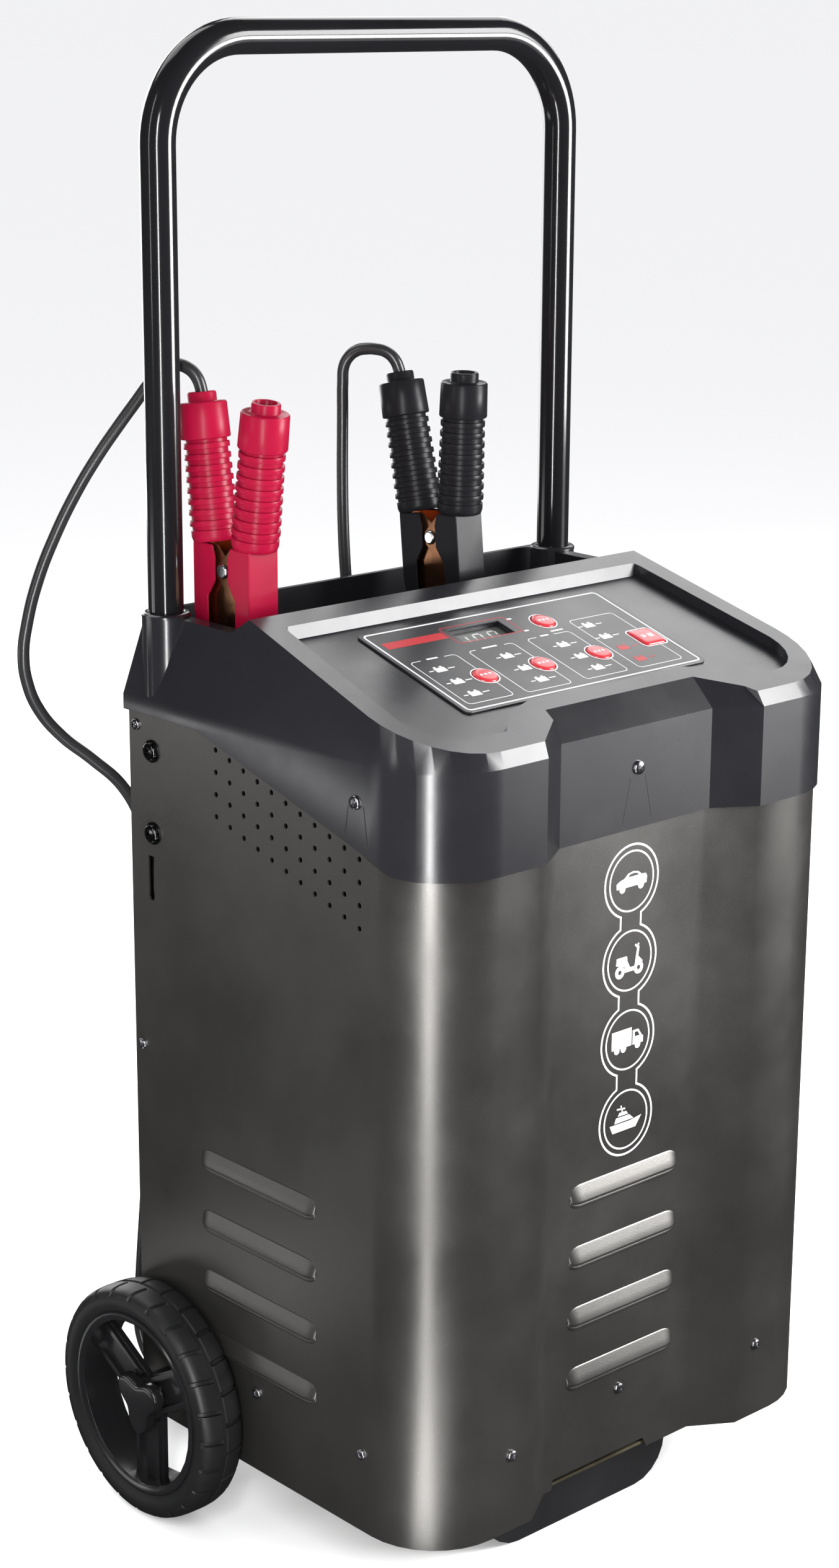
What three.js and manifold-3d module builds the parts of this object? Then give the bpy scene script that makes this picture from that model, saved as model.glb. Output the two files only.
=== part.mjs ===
// A wheeled battery charger and jump starter for a workshop or garage.
// Millimetres, +Z up, the control deck slopes down towards -Y (the front).
// The origin is on the floor, midway between the front of the top cap and the back of the wheels.
import * as THREE from 'three';
import { mergeVertices } from 'three/addons/utils/BufferGeometryUtils.js';
import Module from 'manifold-3d';

const wasm = await Module();
wasm.setup();

// ---- driving dimensions ----
const GAP = 0.3; // the space left between pieces that touch
const BODY = { half: 180, front: -160, rear: 120, bottom: 52, top: 534, corner: 52, sheet: 1.2 };
const RECESS = { outer: 93.7, inner: 66, depth: 17.5, miter: 0.29 };
const CAP = { proud: 2.4, clear: 0.4, crease: 539.5, rim: 591, lean: 0.28, backLean: 0.12 };
const CAP_FRONT_LEAN = 0.5;
const NOTCH_LEAN = 0.88;
const DECK = { rearY: 18.4, rearZ: 600.9, slope: 0.297, pocket: 6.9, skin: 2.7 };
const TROUGH = { half: 158, front: 21, rear: 112.5, floor: 548.5, wall: 2.4 };
const POST = { x: 167, y: 97, radius: 11, wall: 1.6, foot: 430, boss: 15 };
const HANDLE = { top: 935, bend: 62 };
const BOLT = { shank: 2.8, hole: 3.3, head: 6.6, low: 454, high: 507 };
const WHEEL = { y: 84.4, z: 78, radius: 78, inner: 184, outer: 217.4, seat: 61 };
const AXLE = { radius: 6, end: 207.5 };
const FOOT = { half: 82, corner: 28, front: -109, back: -84, sheet: 2.5 };
const GLAND = { x: 22, z: 95, radius: 7.5, reach: 20 };
const CABLE = { radius: 4, sides: 8, lead: 1.3, drop: 209 };
const COIL = { x: 70, y: 176, mean: 48, turns: 2.5, pitch: 8.2, bend: 32 };
const LOUVRE = { high: 14, proud: 2.4, pitch: 41.2, top: 247 };
const CLAMP = { y: 65.5, z: 620.5, redX: -137.5, blackX: 33.5, blackLean: -0.098 };
const JAW = { tip: -71, tang: 15.4, reach: 25.1, sheet: 1.2, inner: 6.6, outer: 8.4, hole: 3.4 };
const GUARD = { half: 11.5, wall: 1.6, reach: 27, foot: -62 };
const GRIP = { y: 19, z: 18.2, lean: 0.138, length: 88, stub: 6, collar: 22, radius: 14, collarRadius: 15.3 };
const TANG = { half: 5, top: 48, thick: 1.2 }; // the strip of each jaw that its grip is pushed onto
const FAN = { z: 330, size: 120, deep: 25, bore: 56, rear: 118 };

// ---- geometry helpers ----
function tidy(geometry) {
  const bare = geometry.clone();
  bare.deleteAttribute('normal');
  bare.deleteAttribute('uv');
  const merged = mergeVertices(bare, 1e-4);
  const index = merged.index.array;
  const kept = [];
  for (let i = 0; i < index.length; i += 3) {
    const [a, b, c] = [index[i], index[i + 1], index[i + 2]];
    if (a !== b && b !== c && c !== a) {
      kept.push(a, b, c);
    }
  }
  merged.setIndex(kept);
  if (volume(merged) < 0) {
    merged.setIndex(kept.reverse());
  }
  return merged;
}

function volume(geometry) {
  const at = geometry.attributes.position;
  const index = geometry.index.array;
  const corner = [0, 1, 2].map(() => new THREE.Vector3());
  let sum = 0;
  for (let i = 0; i < index.length; i += 3) {
    corner.forEach((v, k) => v.fromBufferAttribute(at, index[i + k]));
    sum += corner[0].dot(corner[1].clone().cross(corner[2])) / 6;
  }
  return sum;
}

function solid(geometry) {
  const clean = tidy(geometry);
  return new wasm.Manifold(new wasm.Mesh({
    numProp: 3,
    vertProperties: new Float32Array(clean.attributes.position.array),
    triVerts: new Uint32Array(clean.index.array),
  }));
}

function surface(body) {
  const mesh = body.getMesh();
  const geometry = new THREE.BufferGeometry();
  geometry.setAttribute('position', new THREE.BufferAttribute(new Float32Array(mesh.vertProperties), 3));
  geometry.setIndex(Array.from(mesh.triVerts));
  return geometry;
}

function joined(geometries) {
  return geometries.map(solid).reduce((sum, next) => sum.add(next));
}

function cut(base, ...tools) {
  return surface(tools.reduce((sum, tool) => sum.subtract(solid(tool)), base));
}

function box(x0, x1, y0, y1, z0, z1) {
  const geometry = new THREE.BoxGeometry(x1 - x0, y1 - y0, z1 - z0);
  return geometry.translate((x0 + x1) / 2, (y0 + y1) / 2, (z0 + z1) / 2);
}

function asPath(points) {
  return new THREE.Path(points.map(([x, y]) => new THREE.Vector2(x, y)));
}

function asShape(points) {
  return points instanceof THREE.Shape ? points : new THREE.Shape(points.map(([x, y]) => new THREE.Vector2(x, y)));
}

function prism(points, low, high) {
  const geometry = new THREE.ExtrudeGeometry(asShape(points), { depth: high - low, bevelEnabled: false });
  return geometry.translate(0, 0, low);
}

// An outline in Y and Z, swept along X.
function prismX(points, low, high) {
  const turn = new THREE.Matrix4().makeBasis(
    new THREE.Vector3(0, 1, 0), new THREE.Vector3(0, 0, 1), new THREE.Vector3(1, 0, 0));
  return prism(points, low, high).applyMatrix4(turn);
}

// An outline in X and Z, swept along Y.
function prismY(points, low, high) {
  return prism(points, -high, -low).rotateX(Math.PI / 2);
}

// A round bar along an axis, centred on `at`.
function bar(axis, radius, length, at, sides = 16) {
  const geometry = new THREE.CylinderGeometry(radius, radius, length, sides);
  if (axis === 'x') {
    geometry.rotateZ(Math.PI / 2);
  }
  if (axis === 'z') {
    geometry.rotateX(Math.PI / 2);
  }
  return geometry.translate(...at);
}

// A turned piece: [radius, height] points, standing on +Z.
function turned(profile, sides) {
  const points = profile.map(([r, h]) => new THREE.Vector2(r, h));
  return tidy(new THREE.LatheGeometry(points, sides).rotateX(Math.PI / 2));
}

function arc(cx, cy, radius, from, to, steps) {
  const points = [];
  for (let i = 0; i <= steps; i += 1) {
    const angle = from + ((to - from) * i) / steps;
    points.push([cx + radius * Math.cos(angle), cy + radius * Math.sin(angle)]);
  }
  return points;
}

function ring(radius, sides) {
  return arc(0, 0, radius, 0, 2 * Math.PI, sides).slice(0, -1);
}

function roundedRect(halfX, halfY, radius, steps = 4) {
  const quarter = Math.PI / 2;
  return [
    ...arc(halfX - radius, halfY - radius, radius, 0, quarter, steps),
    ...arc(radius - halfX, halfY - radius, radius, quarter, 2 * quarter, steps),
    ...arc(radius - halfX, radius - halfY, radius, 2 * quarter, 3 * quarter, steps),
    ...arc(halfX - radius, radius - halfY, radius, 3 * quarter, 4 * quarter, steps),
  ];
}

// A path whose sections stand exactly at the given points, so straight runs need none between.
class StationPath extends THREE.Curve {
  constructor(points) {
    super();
    this.stations = points.map((p) => new THREE.Vector3(...p));
  }

  getPoint(t) {
    const last = this.stations.length - 1;
    const i = Math.min(Math.floor(t * last), last - 1);
    return this.stations[i].clone().lerp(this.stations[i + 1], t * last - i);
  }

  getPointAt(u) {
    return this.getPoint(u);
  }

  getSpacedPoints() {
    return this.stations.map((p) => p.clone());
  }

  getTangentAt(u) {
    const last = this.stations.length - 1;
    const i = Math.round(u * last);
    const back = this.stations[i].clone().sub(this.stations[Math.max(i - 1, 0)]).normalize();
    const on = this.stations[Math.min(i + 1, last)].clone().sub(this.stations[i]).normalize();
    return back.add(on).normalize();
  }
}

function tube(points, radius, sides, bore = 0) {
  const shape = asShape(ring(radius, sides));
  if (bore > 0) {
    shape.holes.push(asPath(ring(bore, sides)));
  }
  const extrudePath = new StationPath(points);
  return new THREE.ExtrudeGeometry(shape, { steps: points.length - 1, extrudePath, bevelEnabled: false });
}

// ---- materials ----
const finish = (color, roughness, metalness) => new THREE.MeshStandardMaterial({ color, roughness, metalness });
const POWDER_COAT = finish(0x37353a, 0.42, 0.55);
const CAP_PLASTIC = finish(0x2b2b30, 0.45, 0);
const GLOSS_BLACK = finish(0x0b0b0c, 0.15, 0.2);
const BLACK_STEEL = finish(0x141416, 0.4, 0.4);
const RUBBER = finish(0x232324, 0.75, 0);
const RIM_PLASTIC = finish(0x19191a, 0.5, 0);
const BRIGHT_STEEL = finish(0xc9cacc, 0.25, 1);
const ZINC_STEEL = finish(0xa89f7a, 0.4, 0.9);
const COPPER = finish(0xa8683c, 0.35, 1);
const RED_PVC = finish(0xc8143c, 0.45, 0);
const BLACK_PVC = finish(0x1c1c1e, 0.5, 0);
const BUTTON_RED = finish(0xb4272f, 0.4, 0);
const PRINTED_FILM = finish(0x333337, 0.5, 0);
const BOARD_GREEN = finish(0x1f5a33, 0.5, 0);
const LED_GREY = finish(0x6d6f6e, 0.3, 0);
const WOUND_COPPER = finish(0xb06a33, 0.4, 0.9);
const LAMINATED_STEEL = finish(0x55565a, 0.5, 0.8);
const ALUMINIUM = finish(0xb9bcc0, 0.35, 1);

const charger = new THREE.Group();
function piece(name, geometry, material, parent = charger) {
  const mesh = new THREE.Mesh(tidy(geometry), material);
  mesh.name = name;
  parent.add(mesh);
  return mesh;
}

// ---- sheet-metal housing ----
// The plan outline of the body, grown outwards, from the rear left corner round the front.
function frontOutline(grow) {
  const { half, front, corner } = BODY;
  const side = half + grow;
  const radius = corner + grow;
  const face = front - grow;
  const outer = RECESS.outer - RECESS.miter * grow;
  const inner = RECESS.inner - RECESS.miter * grow;
  const left = arc(radius - side, face + radius, radius, Math.PI, 1.5 * Math.PI, 8);
  const right = arc(side - radius, face + radius, radius, 1.5 * Math.PI, 2 * Math.PI, 8);
  const step = face + RECESS.depth;
  return [...left, [-outer, face], [-inner, step], [inner, step], [outer, face], ...right];
}

function planOutline(grow) {
  const side = BODY.half + grow;
  const rear = BODY.rear + grow;
  return [[-side, rear], ...frontOutline(grow), [side, rear]];
}

function louvre(length) {
  const end = LOUVRE.high / 2;
  const run = length / 2 - end;
  const outline = [
    ...arc(run, 0, end, -Math.PI / 2, Math.PI / 2, 4),
    ...arc(-run, 0, end, Math.PI / 2, 1.5 * Math.PI, 4),
  ];
  const height = LOUVRE.proud;
  const options = { depth: 0.6, bevelThickness: height, bevelSize: height, bevelOffset: -height, bevelSegments: 1 };
  return new THREE.ExtrudeGeometry(asShape(outline), options).translate(0, 0, -0.6);
}

function housingShell() {
  const { half, rear, bottom, top, sheet } = BODY;
  const outer = [[-half, rear], ...frontOutline(0), [half, rear]];
  const inner = [[sheet - half, rear], ...frontOutline(-sheet), [half - sheet, rear]].reverse();
  const pads = [];
  for (let row = 0; row < 4; row += 1) {
    const z = LOUVRE.top - LOUVRE.pitch * row;
    pads.push(louvre(95).rotateX(Math.PI / 2).translate(0, BODY.front + RECESS.depth - 0.3, z));
    pads.push(louvre(110).rotateZ(Math.PI / 2).rotateY(-Math.PI / 2).translate(0.3 - half, -2, z + 3));
    pads.push(louvre(110).rotateZ(Math.PI / 2).rotateY(Math.PI / 2).translate(half - 0.3, -2, z + 3));
  }
  const inside = prism(planOutline(-sheet), bottom, top);
  const trimmed = joined(pads).subtract(solid(inside));
  const body = solid(prism([...outer, ...inner], bottom, top)).add(trimmed);
  const holes = [bar('x', AXLE.radius + 0.5, 2 * half + 20, [0, WHEEL.y, WHEEL.z])];
  for (const z of [BOLT.low, BOLT.high]) {
    holes.push(bar('x', BOLT.hole, 2 * half + 20, [0, POST.y, z], 10));
  }
  const kick = [[-60, bottom - 5], [-58, bottom + 7], [24, bottom + 7], [30, bottom - 5]];
  holes.push(prismY(kick, BODY.front + RECESS.depth - 5, BODY.front + RECESS.depth + 5));
  return cut(body, ...holes);
}

function rearPanel() {
  const { half, rear, bottom, top, sheet } = BODY;
  const side = half - sheet - 0.4;
  const flange = rear - 11;
  const face = rear - GAP;
  const outline = [
    [-side, flange], [sheet - side, flange], [sheet - side, face - sheet], [side - sheet, face - sheet],
    [side - sheet, flange], [side, flange], [side, face], [-side, face],
  ];
  const slots = [];
  for (let i = -4; i <= 4; i += 1) {
    const reach = Math.sqrt(FAN.bore ** 2 - (i * 12) ** 2) - 6;
    slots.push(box(i * 12 - 3.5, i * 12 + 3.5, rear - 5, rear + 5, FAN.z - reach, FAN.z + reach));
  }
  for (const x of [-GLAND.x, GLAND.x]) {
    slots.push(bar('y', GLAND.radius + 0.4, 20, [x, rear, GLAND.z], 12));
  }
  slots.push(bar('y', GLAND.radius + 0.4, 20, [130, rear, GLAND.z], 12));
  return cut(solid(prism(outline, bottom + 1, top - 2)), ...slots);
}

function bottomPan() {
  const notch = BODY.rear - 11 - GAP;
  const back = BODY.rear - BODY.sheet - 2 * GAP;
  const wide = BODY.half - BODY.sheet - 0.4;
  const corner = [[wide, notch], [wide - BODY.sheet - GAP, notch], [wide - BODY.sheet - GAP, back]];
  const mirrored = corner.map(([x, y]) => [-x, y]).reverse();
  return prism([...mirrored, ...frontOutline(-1.6), ...corner], BODY.bottom + 2, BODY.bottom + 4);
}

// ---- moulded top cap ----
function deckHeight(y) {
  return DECK.rearZ + DECK.slope * (y - DECK.rearY);
}

// The cap's outer form, or its hollow, in three levels: skirt, crease and a leaning upper part.
function capForm(grow) {
  const levels = [430, CAP.crease, 625];
  const geometry = new THREE.ExtrudeGeometry(asShape(planOutline(grow)), { depth: 2, steps: 2, bevelEnabled: false });
  const at = geometry.attributes.position;
  const rise = levels[2] - CAP.crease;
  const step = BODY.front + RECESS.depth - grow;
  for (let i = 0; i < at.count; i += 1) {
    const level = Math.round(at.getZ(i));
    at.setZ(i, levels[level]);
    if (level === 2) {
      const [x, y] = [at.getX(i), at.getY(i)];
      const inNotch = Math.abs(x) < RECESS.inner + 1 && Math.abs(y - step) < 1;
      const frontLean = inNotch ? NOTCH_LEAN : CAP_FRONT_LEAN * (-y / -BODY.front);
      at.setX(i, x * (1 - (CAP.lean * rise) / (BODY.half + grow)));
      at.setY(i, y + rise * (y < 0 ? frontLean : (-CAP.backLean * y) / BODY.rear));
    }
  }
  return geometry;
}

// Everything above the deck and the trough's rim, lowered by `drop`.
function aboveDeck(drop) {
  return prismX([
    [-220, deckHeight(-220) - drop], [DECK.rearY, DECK.rearZ - drop], [32, CAP.rim - drop],
    [160, CAP.rim - drop], [160, 700], [-220, 700],
  ], -250, 250);
}

function belowSkirt() {
  const low = 476;
  return prismX([
    [-220, 400], [160, 400], [160, 530], [50, 530], [-101, 487], [-112, 482], [-124, low + 1.5],
    [-138, low], [-220, low],
  ], -250, 250);
}

// The sunken panel in the deck, which the control overlay lies in.
function deckPocket() {
  const right = [
    [66, -117], [88, -124.5], [106, -141], ...arc(127, -107, 34, -Math.PI / 2, 0, 6), [151, 0],
    ...arc(147, 0, 4, 0, Math.PI / 2, 2),
  ];
  const left = right.map(([x, y]) => [-x, y]).reverse();
  const column = solid(prism([...right, ...left], 480, 640));
  return surface(column.intersect(solid(aboveDeck(DECK.pocket))));
}

function topCap() {
  const { half, front, rear, floor, wall } = TROUGH;
  const outer = solid(capForm(CAP.proud)).subtract(solid(aboveDeck(0))).subtract(solid(belowSkirt()));
  const hollow = solid(capForm(CAP.clear)).subtract(solid(aboveDeck(DECK.pocket + DECK.skin)));
  const walls = solid(box(-half - wall, half + wall, front - wall, rear + wall, floor - wall, 700));
  const bosses = [-1, 1].map((side) => bar('z', POST.boss, CAP.rim - CAP.crease - 2,
    [side * POST.x, POST.y, (CAP.rim + CAP.crease + 2) / 2], 20));
  const well = prism(roundedRect(half, (rear - front) / 2, 8).map(([x, y]) => [x, y + (rear + front) / 2]), floor, 700);
  const cavity = solid(well).subtract(joined(bosses));
  let cap = outer.subtract(hollow).add(walls.intersect(outer));
  cap = cap.add(joined(bosses)).subtract(cavity).subtract(solid(deckPocket()));
  for (const side of [-1, 1]) {
    cap = cap.subtract(solid(bar('z', POST.radius + 0.35, 200, [side * POST.x, POST.y, 560], 20)));
  }
  for (const opening of deckOpenings()) {
    cap = cap.subtract(solid(opening));
  }
  return surface(cap);
}

// ---- control deck: a tilted frame on the pocket's floor ----
const DECK_MID = -56;
const DECK_TILT = Math.atan(DECK.slope);
const deckFrame = new THREE.Group();
deckFrame.position.set(0, DECK_MID, deckHeight(DECK_MID) - DECK.pocket);
deckFrame.rotation.x = DECK_TILT;
charger.add(deckFrame);
deckFrame.updateMatrix();

const alongDeck = (y) => (y - DECK_MID) / Math.cos(DECK_TILT);
const BUTTONS = [
  { name: 'display_button', x: 30.3, y: -31.8 },
  { name: 'current_button', x: -12.9, y: -75.7 },
  { name: 'mode_button', x: -61, y: -75.4 },
  { name: 'type_button', x: 35.3, y: -76 },
  { name: 'start_stop_button', x: 84.2, y: -70.5, square: true },
];
const KEY = { radius: 8, square: 9.5, low: -2, high: 2.6, clear: 0.4 };
const WINDOW = { x: -20.9, y: -29.9, halfX: 21.6, halfY: 8.6 };
const FILM = { x: -2.7, y: -2.4, halfX: 103, halfY: 51.5, corner: 4, thick: 1 };

function keyOutline(button, grow) {
  if (button.square) {
    return roundedRect(KEY.square + grow, KEY.square + grow, 3 + grow, 3);
  }
  return ring(KEY.radius + grow, 20);
}

function keyCutters(low, high) {
  const keys = BUTTONS.map((button) => prism(keyOutline(button, KEY.clear), low, high)
    .translate(button.x, alongDeck(button.y), 0));
  const { x, y, halfX, halfY } = WINDOW;
  const middle = alongDeck(y);
  return [...keys, box(x - halfX, x + halfX, middle - halfY, middle + halfY, low, high)];
}

function deckOpenings() {
  return keyCutters(-12, 12).map((geometry) => geometry.applyMatrix4(deckFrame.matrix));
}

function controlDeck() {
  const film = prism(roundedRect(FILM.halfX, FILM.halfY, FILM.corner), GAP, GAP + FILM.thick);
  piece('control_overlay', cut(solid(film.translate(FILM.x, FILM.y, 0)), ...keyCutters(-5, 5)), PRINTED_FILM, deckFrame);
  for (const button of BUTTONS) {
    const low = prism(keyOutline(button, 0), KEY.low, KEY.high);
    const mesh = piece(button.name, low, BUTTON_RED, deckFrame);
    mesh.position.set(button.x, alongDeck(button.y), 0);
  }
  piece('control_board', box(-104, 104, -46, 46, -13, -11.4), BOARD_GREEN, deckFrame);
  const { x, y, halfX, halfY } = WINDOW;
  const middle = alongDeck(y);
  const led = box(x - halfX - 2, x + halfX + 2, middle - halfY - 2, middle + halfY + 2, -11, -3.4);
  piece('led_display', led, LED_GREY, deckFrame);
}

// ---- handle, its bolts, axle and foot ----
function handleTube() {
  const { x, y, radius, wall, foot } = POST;
  const { top, bend } = HANDLE;
  const left = arc(bend - x, top - bend, bend, Math.PI, Math.PI / 2, 7);
  const right = arc(x - bend, top - bend, bend, Math.PI / 2, 0, 7);
  const path = [[-x, foot], ...left, ...right, [x, foot]].map(([px, pz]) => [px, y, pz]);
  const loop = solid(tube(path, radius, 14, radius - wall));
  const holes = [];
  for (const side of [-1, 1]) {
    for (const z of [BOLT.low, BOLT.high]) {
      holes.push(bar('x', BOLT.hole, 12, [side * (x + radius), y, z], 10));
    }
  }
  return cut(loop, ...holes);
}

function handleBolt(side, z) {
  const length = 16;
  const { shank, head } = BOLT;
  const profile = [[0, 0], [shank, 0], [shank, length], [head, length], [head, length + 1.6], [4.6, length + 3.2],
    [0, length + 3.6]];
  const start = BODY.half + GAP - length;
  return turned(profile, 12).rotateY((side * Math.PI) / 2).translate(side * start, POST.y, z);
}

function axleBracket(side) {
  const low = BODY.bottom + 4 + GAP;
  const foot = box(-24, 24, -20, 20, low, low + 3);
  const web = box(-2, 2, -20, 20, low, WHEEL.z + 14);
  const base = joined([foot, web].map((g) => g.translate(side * 150, WHEEL.y, 0)));
  return cut(base, bar('x', AXLE.radius + 0.3, 20, [side * 150, WHEEL.y, WHEEL.z]));
}

// A pressed channel, open towards the back, that stands on the floor.
function frontFoot() {
  const { half, corner, front, back, sheet } = FOOT;
  const top = BODY.bottom + 2 - GAP;
  const outline = (inset) => [
    [half - inset, top + inset * 4],
    ...arc(half - corner, corner, corner - inset, 0, -Math.PI / 2, 5),
    ...arc(corner - half, corner, corner - inset, -Math.PI / 2, -Math.PI, 5),
    [inset - half, top + inset * 4],
  ];
  const channel = solid(prismY(outline(0), front, back));
  return cut(channel, prismY(outline(sheet), front + sheet, back + 20));
}

// ---- wheels ----
function alongX(geometry, side) {
  return geometry.rotateY((side * Math.PI) / 2);
}

function tyre() {
  const wide = (WHEEL.outer - WHEEL.inner) / 2;
  const { radius, seat } = WHEEL;
  const half = [[radius, wide * 0.42], [radius - 1.4, wide * 0.78], [radius - 6, wide], [seat, wide * 0.8]];
  const profile = [...half.toReversed(), ...half.map(([r, h]) => [r, -h])];
  return turned([...profile, profile[0]], 32);
}

function rim() {
  const seat = WHEEL.seat - GAP;
  const ring = turned([[seat, -13], [seat, 13], [seat - 2, 14.5], [seat - 5, 13], [seat - 5, -13], [seat, -13]], 32);
  const hub = bar('z', 15, 23, [0, 0, -6.5], 20);
  const parts = [ring, hub];
  for (let i = 0; i < 3; i += 1) {
    const turn = (2 * Math.PI * i) / 3;
    parts.push(box(8, seat - 3, -13, 13, -3, 1).rotateZ(turn));
    parts.push(box(12, seat - 3, -12, -8.5, 0, 4).rotateZ(turn));
    parts.push(box(12, seat - 3, 8.5, 12, 0, 4).rotateZ(turn));
  }
  return cut(joined(parts), bar('z', AXLE.radius + 0.3, 80, [0, 0, 0]));
}

// A three-lobed cover over the axle's end.
function hubCap() {
  const outline = [];
  for (let i = 0; i < 36; i += 1) {
    const angle = (2 * Math.PI * i) / 36;
    const reach = 18 + 5 * Math.cos(3 * angle);
    outline.push([reach * Math.cos(angle), reach * Math.sin(angle)]);
  }
  const options = { depth: 4, bevelThickness: 4, bevelSize: 4, bevelOffset: -4, bevelSegments: 2 };
  const dome = new THREE.ExtrudeGeometry(asShape(outline), options).translate(0, 0, 5.3);
  const flat = solid(dome).subtract(solid(box(-40, 40, -40, 40, -20, 5.3)));
  return cut(flat, bar('z', 11, 10, [0, 0, 4]));
}

function wheel(side, name) {
  const middle = (WHEEL.outer + WHEEL.inner) / 2;
  const place = (geometry) => alongX(geometry.rotateZ(Math.PI), side).translate(side * middle, WHEEL.y, WHEEL.z);
  piece(`tyre_${name}`, place(tyre()), RUBBER);
  piece(`wheel_rim_${name}`, place(rim()), RIM_PLASTIC);
  piece(`hub_cap_${name}`, place(hubCap()), RIM_PLASTIC);
  const nut = turned([[AXLE.radius + GAP, 0], [10, 0], [10, 1.8], [AXLE.radius + GAP, 1.8], [AXLE.radius + GAP, 0]], 16);
  piece(`push_nut_${name}`, alongX(nut, side).translate(side * (middle + 5.3), WHEEL.y, WHEEL.z), BRIGHT_STEEL);
}

// ---- clamps ----
// Each clamp is drawn about its rivet, which lies along X; the grips point up and the jaws down.
function jaw(side, layer) {
  const { tip, tang, reach, sheet, hole } = JAW;
  const outline = [
    [-reach, tang], [-8, tang], [1, 7], [5.5, 3], [5.5, -4], [-0.4, -10], [-0.4, tip + 2], [-3, tip],
    [-9, tip], [-16, GUARD.foot + 1], [-reach, -26],
  ].map(([y, z]) => [-side * y, z]);
  const cheek = asShape(outline);
  cheek.holes.push(asPath(ring(hole, 12)));
  const web = [
    box(-layer - 0.6, layer + 0.6, -reach, TANG.thick - reach, -24, tang),
    box(-TANG.half, TANG.half, -reach, TANG.thick - reach, tang - 1, TANG.top),
  ];
  const cheeks = [prismX(cheek, layer, layer + sheet), prismX(cheek, -layer - sheet, -layer)];
  return surface(joined([...cheeks, ...web.map((strip) => (side > 0 ? strip.rotateZ(Math.PI) : strip))]));
}

function guard(side) {
  const { half, wall, reach, foot } = GUARD;
  const outline = [[-reach, 15.7], [-9, 15.7], [-6.4, 8], [-6.4, -6], [-13, -16], [-13, foot], [-19, foot], [-reach, -28]];
  const core = [[wall - reach, 40], [10, 40], [10, -90], [-18, -90], [-17.6, foot], [wall - reach, -27]];
  const body = solid(prismX(outline, -half, half));
  const hollow = surface(body.subtract(solid(prismX(core, wall - half, half - wall))));
  return side > 0 ? hollow.rotateZ(Math.PI) : hollow;
}

function grip(side, hollowStub) {
  const { length, stub, collar, radius, collarRadius } = GRIP;
  const shoulder = length - stub;
  const profile = [[0, 0], [radius, 0], [radius - 1, shoulder - collar], [collarRadius, shoulder - collar],
    [collarRadius - 0.6, shoulder], [9, shoulder], [9, length]];
  profile.push(...(hollowStub ? [[6.6, length], [6.6, shoulder - 8], [0, shoulder - 8]] : [[0, length]]));
  const sleeve = turned(profile, 14).rotateX(-side * Math.atan(GRIP.lean)).translate(0, side * GRIP.y, GRIP.z);
  const near = JAW.reach - TANG.thick - GAP;
  const slot = box(-TANG.half - GAP, TANG.half + GAP, near, JAW.reach + GAP, 0, TANG.top + GAP);
  return cut(solid(sleeve), side > 0 ? slot : slot.rotateZ(Math.PI));
}

function rivet() {
  const reach = JAW.outer + JAW.sheet + GAP;
  const profile = [[0, -reach - 1.6], [4, -reach - 1.6], [5, -reach], [3, -reach], [3, reach], [5, reach],
    [4, reach + 1.6], [0, reach + 1.6]];
  return turned(profile, 14).rotateY(Math.PI / 2);
}

function clampSpring() {
  const profile = [[3.4, -5.6], [6, -5.6], [6, 5.6], [3.4, 5.6], [3.4, -5.6]];
  return turned(profile, 14).rotateY(Math.PI / 2);
}

function clamp(name, x, lean, insulation) {
  const frame = new THREE.Group();
  frame.position.set(x, CLAMP.y, CLAMP.z);
  frame.rotation.x = lean;
  charger.add(frame);
  piece(`${name}_clamp_fixed_jaw`, jaw(1, JAW.inner), COPPER, frame);
  piece(`${name}_clamp_moving_jaw`, jaw(-1, JAW.outer), COPPER, frame);
  piece(`${name}_clamp_fixed_guard`, guard(1), insulation, frame);
  piece(`${name}_clamp_moving_guard`, guard(-1), insulation, frame);
  piece(`${name}_clamp_fixed_grip`, grip(1, false), insulation, frame);
  piece(`${name}_clamp_moving_grip`, grip(-1, true), insulation, frame);
  piece(`${name}_clamp_rivet`, rivet(), BRIGHT_STEEL, frame);
  piece(`${name}_clamp_spring`, clampSpring(), BRIGHT_STEEL, frame);
}

// Where a clamp's cable leaves its fixed grip.
function cableStart(x, lean) {
  const reach = GRIP.length + CABLE.lead;
  const top = new THREE.Vector3(0, GRIP.y, GRIP.z);
  top.add(new THREE.Vector3(0, GRIP.lean, 1).normalize().multiplyScalar(reach));
  top.applyAxisAngle(new THREE.Vector3(1, 0, 0), lean);
  return [x + top.x, CLAMP.y + top.y, CLAMP.z + top.z];
}

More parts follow.
